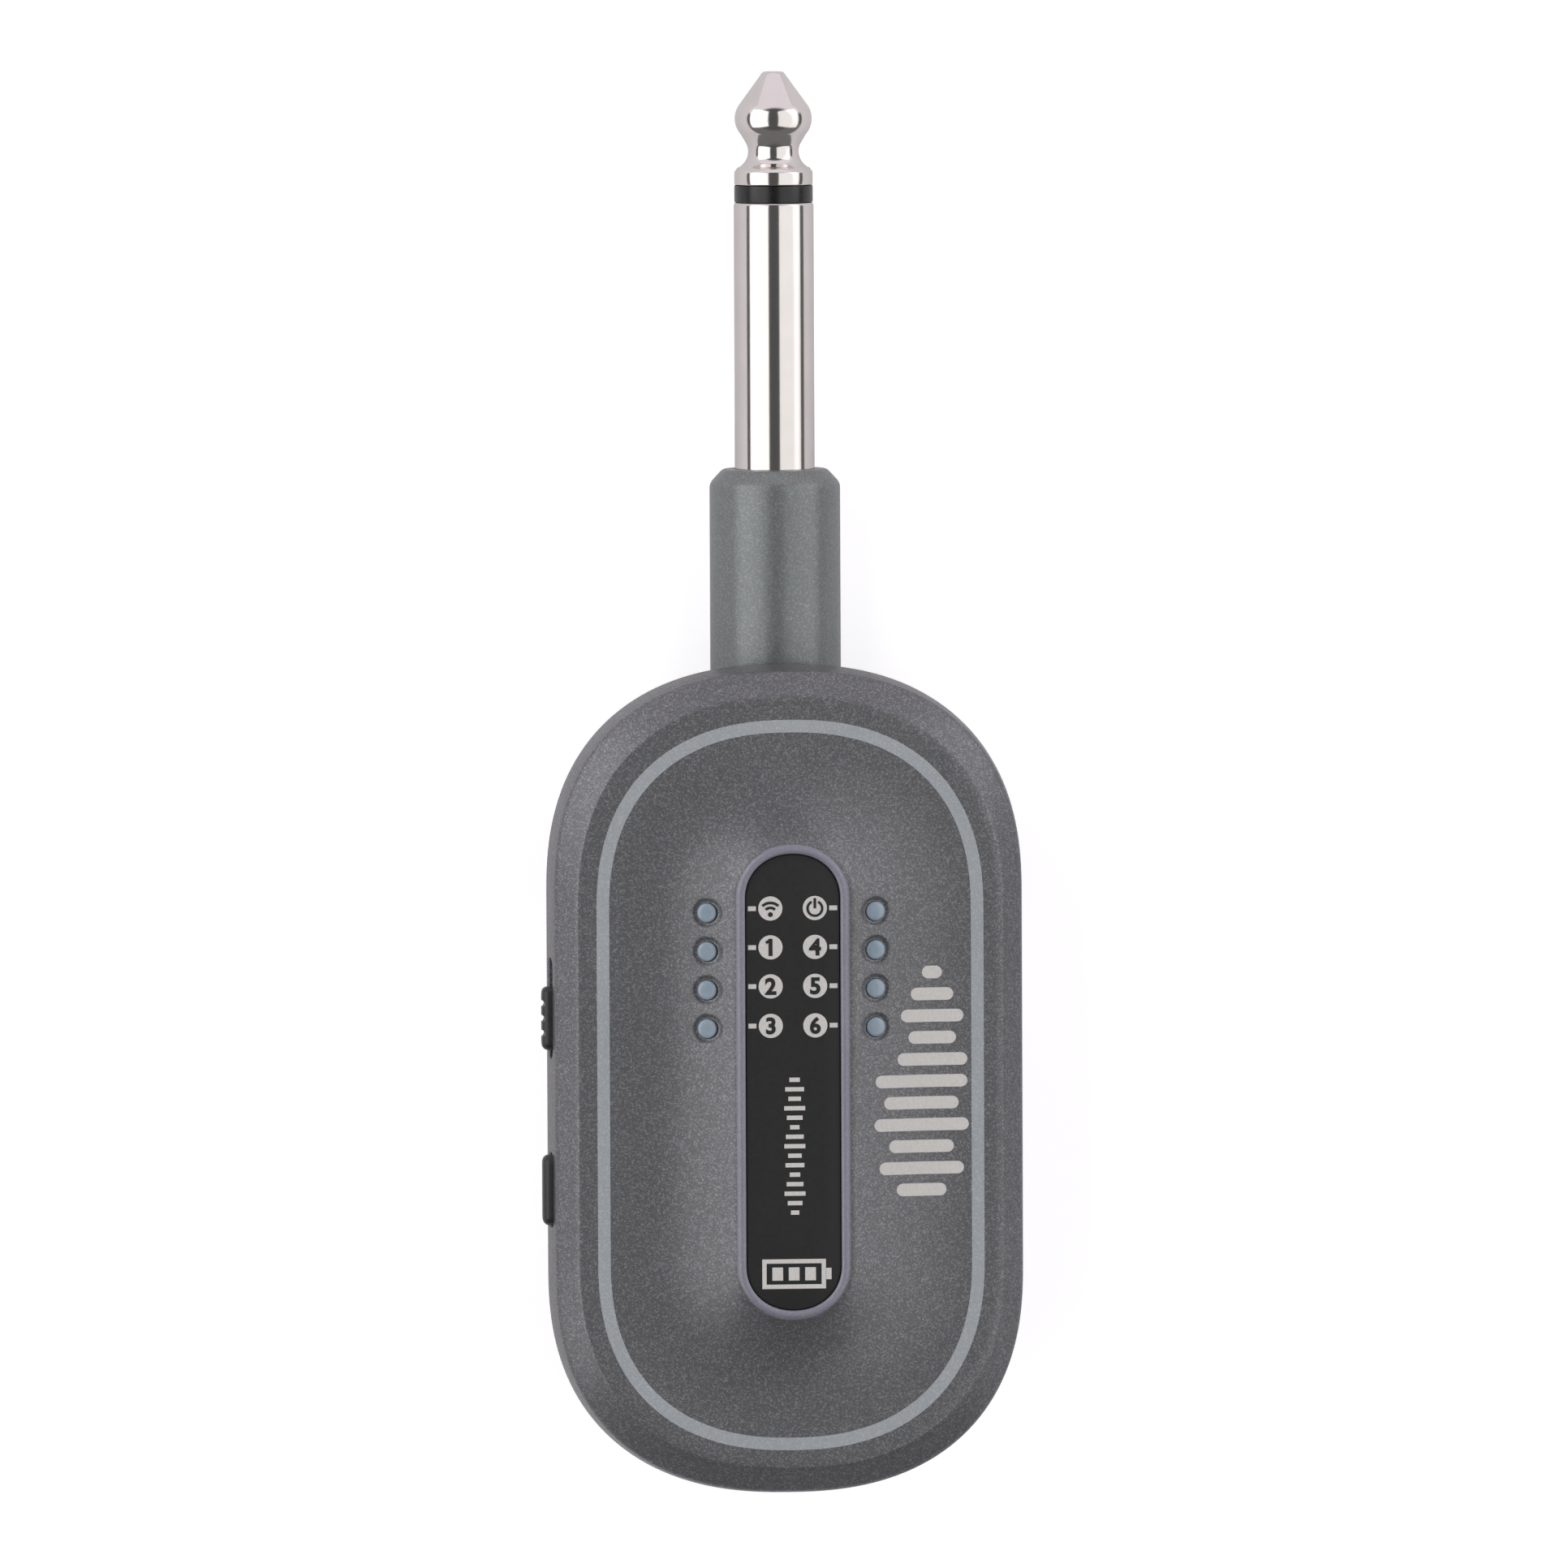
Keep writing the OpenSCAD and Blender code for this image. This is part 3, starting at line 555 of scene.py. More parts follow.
def printed(name, material, patches, body="case", slot="shell_paint"):
    """Thin closed pads of ink: each patch is a grid of (x, y, surface height) points."""
    ink = Solid()
    for grid, wraps in patches:
        top = [[ink.ring([Vector((x, y, z + INK))])[0] for x, y, z in row] for row in grid]
        under = [[ink.ring([Vector((x, y, z - INK))])[0] for x, y, z in row] for row in grid]
        count = len(grid)
        spans = range(count) if wraps else range(count - 1)
        for i in spans:
            k = (i + 1) % count
            for j in range(len(grid[0]) - 1):
                ink.faces.append((top[i][j], top[k][j], top[k][j + 1], top[i][j + 1]))
                ink.faces.append((under[i][j], under[i][j + 1], under[k][j + 1], under[k][j]))
            for j in (0, -1):
                ink.faces.append((top[i][j], top[k][j], under[k][j], under[i][j]))
        if not wraps:
            for i in (0, -1):
                for j in range(len(grid[0]) - 1):
                    ink.faces.append((top[i][j], top[i][j + 1], under[i][j + 1], under[i][j]))
    return ink.piece(name, material, body, slot, merge=0.0002)


RING_HALF_W, RING_HALF_L, RING_END, RING_POWER, RING_SHIFT = 14.82, 28.4, 14.6, 2.35, -0.16
ring_line = []
line_edges = [oval(RING_HALF_W + off, RING_HALF_L + off, RING_END + off, RING_POWER)
              for off in (-0.5, -0.25, 0, 0.25, 0.5)]
for row in zip(*line_edges):
    ring_line.append([(p.x, p.y + RING_SHIFT, crown_height(p.x, p.y + RING_SHIFT)) for p in row])
printed("printed_ring", silver_ink, [(ring_line, True)])

BAR_SPAN = (1.6, 3.4, 5.0, 3.8, 5.6, 7.4, 6.0, 7.6, 5.2, 6.8, 4.0)
BAR_X, BAR_TOP_Y, BAR_PITCH, BAR_WIDE = 10.3, 8.7, 1.72, 1.0
SHIFTED_BARS, BAR_SHIFT = 5, 0.9
bars = []
for i, span in enumerate(BAR_SPAN):
    grid = []
    ends = [BAR_WIDE / 2 * (1 - math.cos(math.pi / 2 * a / 8)) for a in range(9)]
    for past in ends + [span / 2] + [span - end for end in reversed(ends)]:
        x = BAR_X + (BAR_SHIFT if i < SHIFTED_BARS else 0) - span / 2 + past
        near_end = min(past, span - past, BAR_WIDE / 2)
        half = math.sqrt(max((BAR_WIDE / 2) ** 2 - (BAR_WIDE / 2 - near_end) ** 2, 0.0009))
        y = BAR_TOP_Y - i * BAR_PITCH
        grid.append([(x, y + half * b, crown_height(x, y + half * b)) for b in (-1, -0.5, 0, 0.5, 1)])
    bars.append((grid, False))
printed("printed_sound_bars", white_ink, bars)

# ---- Label --------------------------------------------------------------------------------
# A black polycarbonate insert glued into the bezel, screen printed with white discs, one for
# each light. The discs hold a signal sign, a power sign and the channel numbers.
LABEL_TOP = label_high.z / MM
LABEL_FLOOR = label_low.z / MM
label_black = surface("label_black", (0.010, 0.010, 0.011), (0.014, 0.014, 0.015), 3500, 0.52,
                      {"Specular IOR Level": 0.38})
plate = Solid()
plate_rows = ((0.0, LABEL_FLOOR), (0.0, LABEL_TOP - 0.09), (-0.03, LABEL_TOP - 0.025), (-0.09, LABEL_TOP))
plate.loft([at_height(label_oval(grow), z) for grow, z in plate_rows], close_start=True, close_end=True)
plate.piece("label_insert", label_black, "case", "label_black", ["label_plate"])

DISC_X, DISC_R = 1.76, 0.955
DISC_ROWS = (14.0, 10.93, 7.85, 4.73)


def disc(x, y, r, rise=0.0):
    grid = []
    for i in range(48):
        c, s = math.cos(math.tau * i / 48), math.sin(math.tau * i / 48)
        grid.append([(x + c * r * k, y + s * r * k, LABEL_TOP + rise) for k in (0.02, 0.5, 1)])
    return grid, True


def stroke(points, width, rise=0.0):
    """A printed line of that width through the points, square at its ends."""
    grid = []
    for i, p in enumerate(points):
        ahead = Vector(points[min(i + 1, len(points) - 1)]) - Vector(points[max(i - 1, 0)])
        across = Vector((-ahead.y, ahead.x)).normalized() * width / 2
        grid.append([(p[0] + across.x * k, p[1] + across.y * k, LABEL_TOP + rise) for k in (-1, 0, 1)])
    return grid, False


def arc(x, y, r, start, end, steps=24):
    """Points of an arc about (x, y), from start to end in degrees."""
    turns = [math.radians(start + (end - start) * i / steps) for i in range(steps + 1)]
    return [(x + r * math.cos(t), y + r * math.sin(t)) for t in turns]


discs = [disc(side * DISC_X, y, DISC_R) for side in (-1, 1) for y in DISC_ROWS]
dashes = [stroke([(side * 2.9, y), (side * 3.53, y)], 0.37) for side in (-1, 1) for y in DISC_ROWS]
printed("printed_discs", white_ink, discs + dashes, slot="label_black")

UP = 0.03
top_row = DISC_ROWS[0]
signs = [disc(-DISC_X, top_row - 0.48, 0.19, UP)]
signs += [stroke(arc(-DISC_X, top_row - 0.5, r, 48, 132), 0.21, UP) for r in (0.55, 0.94)]
signs += [stroke(arc(DISC_X, top_row - 0.03, 0.58, 116, 424), 0.19, UP)]
signs += [stroke([(DISC_X, top_row - 0.02), (DISC_X, top_row + 0.78)], 0.2, UP)]
printed("printed_signs", label_black, signs, slot="label_black")


def printed_number(text, x, y, height):
    """A channel number in plain block figures, laid on its disc."""
    words = bpy.data.curves.new(f"figure_{text}", "FONT")
    words.body = text
    words.size = height * MM * 1.4
    words.align_x = "CENTER"
    words.align_y = "CENTER"
    words.extrude = 0.012 * MM
    words.offset = 0.07 * MM
    words.resolution_u = 6
    holder = add_object("holder", words)
    bpy.context.view_layer.update()
    graph = bpy.context.evaluated_depsgraph_get()
    mesh = bpy.data.meshes.new_from_object(holder.evaluated_get(graph))
    bpy.data.objects.remove(holder)
    xs = [v.co.x for v in mesh.vertices]
    ys = [v.co.y for v in mesh.vertices]
    shift = Vector(((max(xs) + min(xs)) / 2, (max(ys) + min(ys)) / 2, 0))
    scale = height * MM / (max(ys) - min(ys))
    for v in mesh.vertices:
        v.co = Vector(((v.co.x - shift.x) * scale, (v.co.y - shift.y) * scale, v.co.z))
        v.co += Vector((x, y, LABEL_TOP + INK + 0.012)) * MM
    mesh.materials.clear()
    mesh.materials.append(label_black)
    made = add_object(f"figure_{text}", mesh)
    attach(made, "case")


for number in range(6):
    side = -1 if number < 3 else 1
    printed_number(str(number + 1), side * DISC_X, DISC_ROWS[1 + number % 3], 1.36)
flag = [(-DISC_X - 0.36, DISC_ROWS[1] + 0.36), (-DISC_X - 0.02, DISC_ROWS[1] + 0.58)]
printed("figure_1_flag", label_black, [stroke(flag, 0.22, UP)], slot="label_black")

# A plain column of level bars and a battery sign, in place of any words
LEVELS = (0.5, 0.9, 0.6, 1.0, 0.75, 0.45, 0.85, 1.0, 0.65, 0.9, 0.5, 0.8, 1.0, 0.7, 0.4)
LEVEL_X, LEVEL_Y, LEVEL_PITCH, LEVEL_HALF = 0.1, 0.45, 0.75, 0.83
LINE = 0.34
levels = [stroke([(LEVEL_X + way * LEVEL_HALF * part, LEVEL_Y - LEVEL_PITCH * i) for way in (-1, 1)], LINE)
          for i, part in enumerate(LEVELS)]
CELL_Y, CELL_W, CELL_H = -14.9, 2.35, 1.0
battery = [stroke([(LINE / 2 - CELL_W, CELL_Y + k * CELL_H), (CELL_W - LINE / 2, CELL_Y + k * CELL_H)], LINE)
           for k in (-1, 1)]
battery += [stroke([(k * CELL_W, CELL_Y + way * (CELL_H + LINE / 2)) for way in (-1, 1)], LINE)
            for k in (-1, 1)]
battery += [stroke([(CELL_W + 0.4, CELL_Y - 0.45), (CELL_W + 0.4, CELL_Y + 0.45)], 0.42)]
battery += [stroke([(x, CELL_Y - 0.52), (x, CELL_Y + 0.52)], 0.85) for x in (-1.3, 0, 1.3)]
printed("printed_scale", white_ink, levels + battery, slot="label_black")

# ---- Lights -------------------------------------------------------------------------------
# Eight pins of two polycarbonate light guides come through the face. Unlit, they are grey-blue,
# with a flat polished top and a small round edge.
lens_blue = surface("lens_blue", (0.27, 0.34, 0.41), (0.31, 0.385, 0.45), 1800, 0.22,
                    {"Coat Weight": 0.4, "Subsurface Weight": 0.15,
                     "Subsurface Radius": (0.0004, 0.0005, 0.0006)})


def lathe(rows, centre, axis="Z", count=64, body=None):
    """Turns (radius, height) rows about an axis through the centre."""
    body = body or Solid()
    rings = []
    for r, h in rows:
        ring = []
        for i in range(count):
            c, s = r * math.cos(math.tau * i / count), r * math.sin(math.tau * i / count)
            turned = {"Z": (c, s, h), "Y": (s, h, c), "X": (h, c, s)}[axis]
            ring.append(Vector(turned) + Vector(centre))
        rings.append(ring)
    body.loft(rings, close_start=True, close_end=True)
    return body


COMB_LOW, COMB_HIGH = guide_low.z / MM + 0.4, guide_low.z / MM + 1.3
for side, name in ((-1, "light_guide_left"), (1, "light_guide_right")):
    comb = Solid()
    near, far = guide_low.x / MM, guide_high.x / MM
    first, last = guide_low.y / MM, guide_high.y / MM
    rows = []
    for grow, z in ((-0.08, COMB_LOW), (0, COMB_LOW + 0.08), (0, COMB_HIGH - 0.08), (-0.08, COMB_HIGH)):
        box = ((far + grow, last + grow), (near - grow, last + grow), (near - grow, first - grow),
               (far + grow, first - grow))
        rows.append([Vector((side * x, y, z)) for x, y in box])
    comb.loft(rows, close_start=True, close_end=True)
    guide = comb.piece(name + "_comb", lens_blue)
    for x, y in lights:
        if x * side > 0:
            top = crown_height(x, y) - 0.06
            rows = ((LENS_R - 0.05, guide_low.z / MM), (LENS_R, guide_low.z / MM + 0.05),
                    (LENS_R, top - 0.24), (LENS_R - 0.02, top - 0.15), (LENS_R - 0.07, top - 0.07),
                    (LENS_R - 0.15, top - 0.02), (LENS_R - 0.24, top), (LENS_R * 0.4, top + 0.02))
            carve(guide, lathe(rows, (x, y, 0), count=LIGHT_SIDES), "UNION")
    place_piece(guide, 40, "case", "lens", name)

# ---- Rear shell ---------------------------------------------------------------------------
# The tub behind the joint line, moulded and painted like the front. It ends in a wall beside
# the swivel arm, is round along its bottom edge and is held by four screws in deep wells.
STEP_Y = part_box("rear_shell")[1].y / MM
SCREWS = ((12.6, -21.5), (-12.6, -21.5), (10.4, 8.4), (-10.4, 8.4))


def tub_outline(inset, end_y, corner):
    """The oval cut off by a straight wall, with a round corner on each side."""
    half_w = HALF_W - inset
    end = END_L - inset
    straight = HALF_L - inset - end
    quarter = end_curve(half_w, end, END_POWER, 44)
    top, wide = end_y - corner, half_w - corner
    turns = [math.pi / 2 * i / 8 for i in range(9)]
    points = [Vector((wide + corner * math.cos(t), top + corner * math.sin(t))) for t in reversed(turns)]
    points += [Vector((half_w, top + (-straight - top) * i / 20)) for i in range(1, 20)]
    points += [Vector((p.x, -straight - p.y)) for p in quarter]
    points += [Vector((-p.x, -straight - p.y)) for p in reversed(quarter[:-1])]
    points += [Vector((-half_w, -straight + (top + straight) * i / 20)) for i in range(1, 20)]
    points += [Vector((-wide - corner * math.cos(t), top + corner * math.sin(t))) for t in turns]
    points += [Vector((-wide + 2 * wide * i / 24, end_y)) for i in range(1, 24)]
    return points


tub = Solid()
tub_rows = [at_height(tub_outline(6.2, STEP_Y - 3.2, 1.0), 0)]
for i in range(13):
    t = math.pi / 2 * i / 12
    inset = 0.9 + 3.5 * (1 - math.sin(t))
    end_y = STEP_Y - 0.15 - 1.3 * (1 - math.sin(t)) ** 1.3
    tub_rows.append(at_height(tub_outline(inset, end_y, 1.5), 4.2 * (1 - math.cos(t))))
for z in (6.0, 8.0, 10.0, SPLIT_Z - 0.3):
    share = (z - 4.2) / (SPLIT_Z - 4.2)
    tub_rows.append(at_height(tub_outline(0.9 - 0.6 * share, STEP_Y - 0.15 + 0.12 * share, 1.5), z))
tub_rows += [at_height(tub_outline(0.34, STEP_Y - 0.06, 1.5), SPLIT_Z - 0.1),
             at_height(tub_outline(0.46, STEP_Y - 0.16, 1.4), SPLIT_Z),
             at_height(tub_outline(1.75, STEP_Y - 1.4, 0.8), SPLIT_Z),
             at_height(tub_outline(1.85, STEP_Y - 1.5, 0.8), SPLIT_Z - 0.3),
             at_height(tub_outline(2.6, STEP_Y - 1.6, 0.8), 4.6),
             at_height(tub_outline(5.4, STEP_Y - 2.8, 0.8), 1.6)]
tub.loft(tub_rows, close_start=True, close_end=True)
rear_shell = tub.piece("rear_shell_skin", shell_paint, merge=0.003)
for x, y in SCREWS:
    well = lathe(((2.15, -3), (2.15, -0.4), (1.95, 0.05), (1.75, 0.45), (1.75, 4.0)), (x, y, 0))
    carve(rear_shell, well)
carve(rear_shell, usb_cut)
tag_low, tag_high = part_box("rear_label")
TAG = [(tag_low.x / MM, tag_high.x / MM), (tag_low.y / MM, tag_high.y / MM)]
tag_centre = Vector(((TAG[0][0] + TAG[0][1]) / 2, (TAG[1][0] + TAG[1][1]) / 2))


def tag_outline(grow, z, r=0.8):
    half = ((TAG[0][1] - TAG[0][0]) / 2 + grow - r, (TAG[1][1] - TAG[1][0]) / 2 + grow - r)
    return [Vector((x, y, z)) for x, y in round_corners(*half, r, *tag_centre)]


tag_cut = Solid()
tag_cut.loft([tag_outline(0.2, -1, 0.9), tag_outline(0.2, 0.2, 0.9)], True, True)
carve(rear_shell, tag_cut)
place_piece(rear_shell, 32, "case", "shell_paint", "rear_shell")

# ---- Rear label ---------------------------------------------------------------------------
# A blank label of silver polyester film, die cut with round corners. It is stuck down in a
# shallow recess, so that its edge doesn't catch.
silver_film = surface("silver_film", (0.44, 0.44, 0.46), (0.52, 0.52, 0.54), 900, 0.34,
                      {"Metallic": 0.6})
tag = Solid()
tag.loft([tag_outline(0, 0.2), tag_outline(0, 0.08), tag_outline(-0.03, 0.06)], True, True)
tag.piece("rear_label_film", silver_film, "case", "silver_label", ["rear_label"])

# ---- Screws -------------------------------------------------------------------------------
# Black oxide case screws with round heads deep in their wells, and bright countersunk screws
# in the steel plate. Each has a cross recess pressed into its head.
def metal(name, dark, light, roughness, scale=1500, metallic=1.0):
    """Bare or plated metal with a drifting tone and fine handling marks in its gloss."""
    return surface(name, dark, light, scale, roughness, {"Metallic": metallic})


black_steel = metal("black_steel", (0.03, 0.03, 0.032), (0.055, 0.055, 0.058), 0.38)
bright_steel = metal("bright_steel", (0.46, 0.47, 0.49), (0.56, 0.57, 0.59), 0.27)


def screw_head(name, material, spots, rows, recess_z, slot, replaced):
    heads = Solid()
    for x, y in spots:
        lathe(rows, (x, y, 0), body=heads, count=40)
    made = heads.piece(name, material)
    for x, y in spots:
        for across in (0, 1):
            long, thin = (0.85, 0.2) if across else (0.2, 0.85)
            rows_cut = []
            for z, taper in ((recess_z - 1, 1.0), (recess_z, 1.0), (recess_z + 0.55, 0.5)):
                a, b = long * (taper if across else 1), thin * (1 if across else taper)
                rows_cut.append([Vector((x + sx * a, y + sy * b, z)) for sx, sy in CORNERS])
            bar_cut = Solid()
            bar_cut.loft(rows_cut, True, True)
            carve(made, bar_cut)
    place_piece(made, 32, "case", slot, replaced)


HEAD_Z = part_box("shell_screws")[0].z / MM
screw_head("shell_screw_heads", black_steel, SCREWS,
           ((0.7, HEAD_Z), (1.25, HEAD_Z + 0.12), (1.52, HEAD_Z + 0.42), (1.6, HEAD_Z + 0.9),
            (1.6, HEAD_Z + 1.3), (0.9, HEAD_Z + 1.3), (0.9, HEAD_Z + 10)), HEAD_Z - 0.02,
           "black_steel", "shell_screws")
plate_low, plate_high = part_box("plate_screws")
PLATE_Z = plate_low.z / MM
PLATE_X, PLATE_Y = plate_high.x / MM - 1.6, (plate_low.y + plate_high.y) / 2 / MM
screw_head("plate_screw_heads", bright_steel, ((PLATE_X, PLATE_Y), (-PLATE_X, PLATE_Y)),
           ((1.5, PLATE_Z), (1.58, PLATE_Z + 0.06), (0.9, PLATE_Z + 0.95), (0.9, PLATE_Z + 3.3)),
           PLATE_Z - 0.01, "steel", "plate_screws")

# ---- Swivel arm ---------------------------------------------------------------------------
# A moulded neck and round hub, sprayed with the same flake paint in a greener grey. The neck
# ends in a bevelled collar round the plug. A snap-in cover closes the hub.
arm_paint = flake_paint("arm_paint", (0.165, 0.178, 0.175), (0.34, 0.36, 0.36), 0.5, 0.36)
cap_paint = flake_paint("cap_paint", (0.08, 0.085, 0.085), (0.24, 0.25, 0.25), 0.6, 0.5, 0.3)
arm_low, arm_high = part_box("arm_housing")
sleeve_low, sleeve_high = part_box("plug_sleeve")
PIVOT_Y = arm_low.y / MM + 7.5
PLUG_Z = (sleeve_low.z + sleeve_high.z) / 2 / MM
SHOULDER_Y = arm_high.y / MM
PLUG_R = 3.175
NECK_R = 5.18
HUB_R = 7.5
HUB_TOP = SPLIT_Z - 0.3
HUB_HOLE_R, HUB_HOLE_Z = 6.14, 9.9
PIVOT_HOLE_R, NECK_BORE_R = 2.5, 3.9
SEAT_R, SEAT_BACK, SEAT_END = 3.5, 1.6, 0.35


def on_plug(rows, count=128):
    return lathe(rows, (0, 0, PLUG_Z), "Y", count)


def on_pivot(rows, count=128):
    return lathe(rows, (0, PIVOT_Y, 0), "Z", count)


neck = on_plug(((NECK_R - 0.2, PIVOT_Y - 3.5), (NECK_R, PIVOT_Y), (NECK_R, SHOULDER_Y - 12),
                (NECK_R, SHOULDER_Y - 1.5), (NECK_R - 0.02, SHOULDER_Y - 1.28),
                (NECK_R - 0.1, SHOULDER_Y - 1.08), (NECK_R - 0.22, SHOULDER_Y - 0.9),
                (NECK_R - 0.86, SHOULDER_Y - 0.2), (NECK_R - 1.0, SHOULDER_Y - 0.08),
                (NECK_R - 1.16, SHOULDER_Y - 0.015), (NECK_R - 1.35, SHOULDER_Y),
                (PLUG_R + 0.16, SHOULDER_Y), (PLUG_R + 0.06, SHOULDER_Y - 0.1),
                (PLUG_R + 0.04, SHOULDER_Y - 1.2)))
arm = neck.piece("swivel_arm", arm_paint, merge=0.002)
hub = on_pivot(((HUB_HOLE_R, 2.4), (HUB_HOLE_R, 1.36), (6.22, 1.25), (6.34, 1.2), (6.8, 1.2), (7.1, 1.27),
                (7.33, 1.45), (7.45, 1.7), (HUB_R, 2.0), (HUB_R, 10.6), (7.45, 10.95), (7.3, 11.2),
                (7.08, 11.38), (6.8, HUB_TOP - 0.03), (6.5, HUB_TOP)))
carve(arm, hub, "UNION")
carve(arm, on_pivot(((HUB_HOLE_R, 0), (HUB_HOLE_R, HUB_HOLE_Z))))
carve(arm, on_pivot(((PIVOT_HOLE_R, HUB_HOLE_Z - 1), (PIVOT_HOLE_R, HUB_TOP + 1)), 64))
carve(arm, on_plug(((NECK_BORE_R, PIVOT_Y), (NECK_BORE_R, SHOULDER_Y - SEAT_BACK),
                    (SEAT_R, SHOULDER_Y - SEAT_BACK), (SEAT_R, SHOULDER_Y - SEAT_END))))
place_piece(arm, 30, "plug_arm", "arm_paint", "arm_housing")

cover = on_pivot(((0.2, 1.34), (1.6, 1.34), (1.75, 1.27), (1.9, 1.24), (5.55, 1.24), (5.8, 1.3),
                  (5.98, 1.45), (6.06, 1.7), (6.08, 2.3)), 96)
cover.piece("hub_cover", cap_paint, "plug_arm", "arm_paint", ["arm_cap"], sharp=50)

# ---- Plug ---------------------------------------------------------------------------------
# Brass turned on a lathe and nickel plated: the sleeve, and the tip with its waist, ball and
# cone. A black plastic ring keeps the two apart. Turning marks show as faint rings in the gloss.
def make_turned_group():
    """Faint turning rings across an axis, and a warm drift of tone in the plating."""
    group, given, out = new_group("turned_plating", ("Bright", "Dull"), ("Roughness",))
    place = node(group, "ShaderNodeTexCoord", (-800, -250))
    stretch = node(group, "ShaderNodeMapping", (-600, -250))
    stretch.inputs["Scale"].default_value = (60, 9000, 60)
    rings = node(group, "ShaderNodeTexNoise", (-400, -250))
    set_inputs(rings, {"Scale": 1.0, "Detail": 2})
    haze = node(group, "ShaderNodeTexNoise", (-400, 50))
    set_inputs(haze, {"Scale": 260, "Detail": 4})
    wire(group, place, "Object", stretch, "Vector")
    wire(group, stretch, "Vector", rings, "Vector")
    wire(group, place, "Object", haze, "Vector")
    mix = node(group, "ShaderNodeMix", (0, 150), data_type="RGBA")
    wire(group, haze, "Fac", mix, "Factor")
    wire(group, given, "Bright", mix, 6)
    wire(group, given, "Dull", mix, 7)
    rough = node(group, "ShaderNodeMath", (0, -120), operation="MULTIPLY_ADD")
    rough.inputs[1].default_value = 0.05
    wire(group, haze, "Fac", rough, 0)
    wire(group, given, "Roughness", rough, 2)
    wire(group, mix, 2, out, "Color")
    wire(group, rough, "Value", out, "Roughness")
    wire(group, rings, "Fac", out, "Height")
    return group


turned_group = make_turned_group()


def turned_metal(name, bright, dull, roughness, strength=0.03):
    values = {"Bright": (*bright, 1), "Dull": (*dull, 1), "Roughness": roughness}
    return from_group(name, turned_group, values, strength, 0.00001, {"Metallic": 1.0})


nickel = turned_metal("nickel", (0.78, 0.74, 0.71), (0.66, 0.62, 0.60), 0.09)
SLEEVE_END = sleeve_high.y / MM
RING_END_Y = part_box("tip_insulator")[1].y / MM
TIP_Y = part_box("plug_tip")[1].y / MM
COLLAR_R = 3.12
SHANK_R, SHANK_BACK, FLANGE_R, FLANGE_BACK, CORE_R = 3.0, 9.5, 3.85, 3.4, 1.75
sleeve = on_plug(((SHANK_R - 0.2, SHOULDER_Y - SHANK_BACK), (SHANK_R, SHOULDER_Y - SHANK_BACK + 0.2),
                  (SHANK_R, SHOULDER_Y - FLANGE_BACK), (FLANGE_R, SHOULDER_Y - FLANGE_BACK),
                  (FLANGE_R, SHOULDER_Y - SEAT_BACK), (SEAT_R, SHOULDER_Y - SEAT_BACK),
                  (SEAT_R, SHOULDER_Y - SEAT_END), (PLUG_R, SHOULDER_Y - SEAT_END),
                  (PLUG_R, SHOULDER_Y + 7), (PLUG_R, SLEEVE_END - 7), (PLUG_R, SLEEVE_END - 0.22),
                  (PLUG_R - 0.03, SLEEVE_END - 0.1), (PLUG_R - 0.1, SLEEVE_END - 0.02),
                  (PLUG_R - 0.2, SLEEVE_END)))
sleeve_contact = sleeve.piece("sleeve_contact", nickel)
carve(sleeve_contact, on_plug(((CORE_R, SHOULDER_Y - 12), (CORE_R, SLEEVE_END + 1)), 64))
place_piece(sleeve_contact, 30, "plug_arm", "nickel", "plug_sleeve")

black_plastic = surface("black_plastic", (0.006, 0.006, 0.006), (0.010, 0.010, 0.010), 2200, 0.26)
ring_rows = ((COLLAR_R - 0.15, SLEEVE_END), (COLLAR_R - 0.03, SLEEVE_END + 0.04),
             (COLLAR_R, SLEEVE_END + 0.12), (COLLAR_R, RING_END_Y - 0.12),
             (COLLAR_R - 0.03, RING_END_Y - 0.04), (COLLAR_R - 0.15, RING_END_Y))
on_plug(ring_rows).piece("insulating_ring", black_plastic, "plug_arm", "black_moulding",
                         ["tip_insulator"])

WAIST_Y, BALL_Y = TIP_Y - 6.35, TIP_Y - 3.75
tip_rows = [(COLLAR_R - 0.15, RING_END_Y), (COLLAR_R - 0.03, RING_END_Y + 0.03),
            (COLLAR_R, RING_END_Y + 0.1), (COLLAR_R, RING_END_Y + 0.98),
            (COLLAR_R - 0.03, RING_END_Y + 1.08), (COLLAR_R - 0.12, RING_END_Y + 1.16)]
tip_rows += arc(3.42, WAIST_Y, 1.4, 248, 157)
tip_rows += arc(1.17, BALL_Y, 1.9, -41, 37, 32)
tip_rows += [(1.02, TIP_Y - 0.3), (0.9, TIP_Y - 0.12), (0.76, TIP_Y - 0.03), (0.6, TIP_Y)]
on_plug(tip_rows).piece("tip_contact", nickel, "plug_arm", "nickel", ["plug_tip"], sharp=60)

# ---- Switch and button --------------------------------------------------------------------
# Two black polypropylene keys in slots in the left wall: a slide knob with finger grooves,
# whose inner flange closes its slot, and a push button with a softly rounded face.
key_black = surface("key_black", (0.013, 0.013, 0.014), (0.022, 0.022, 0.023), 4200, 0.36)
OUT = -knob_low.x / MM
GROOVE_R, GROOVE_PITCH = 0.27, KNOB_L / 4.3


def add_flange(key, y, z, half_l, half_h, first, last):
    """Joins a thin plate to the inner end of a key, from first to last inside the wall."""
    flange = Solid()
    flange.loft([[Vector((x, y + sx * half_l, z + sy * half_h)) for sx, sy in CORNERS]
                 for x in (-HALF_W + first, -HALF_W + last)], True, True)
    carve(key, flange, "UNION")


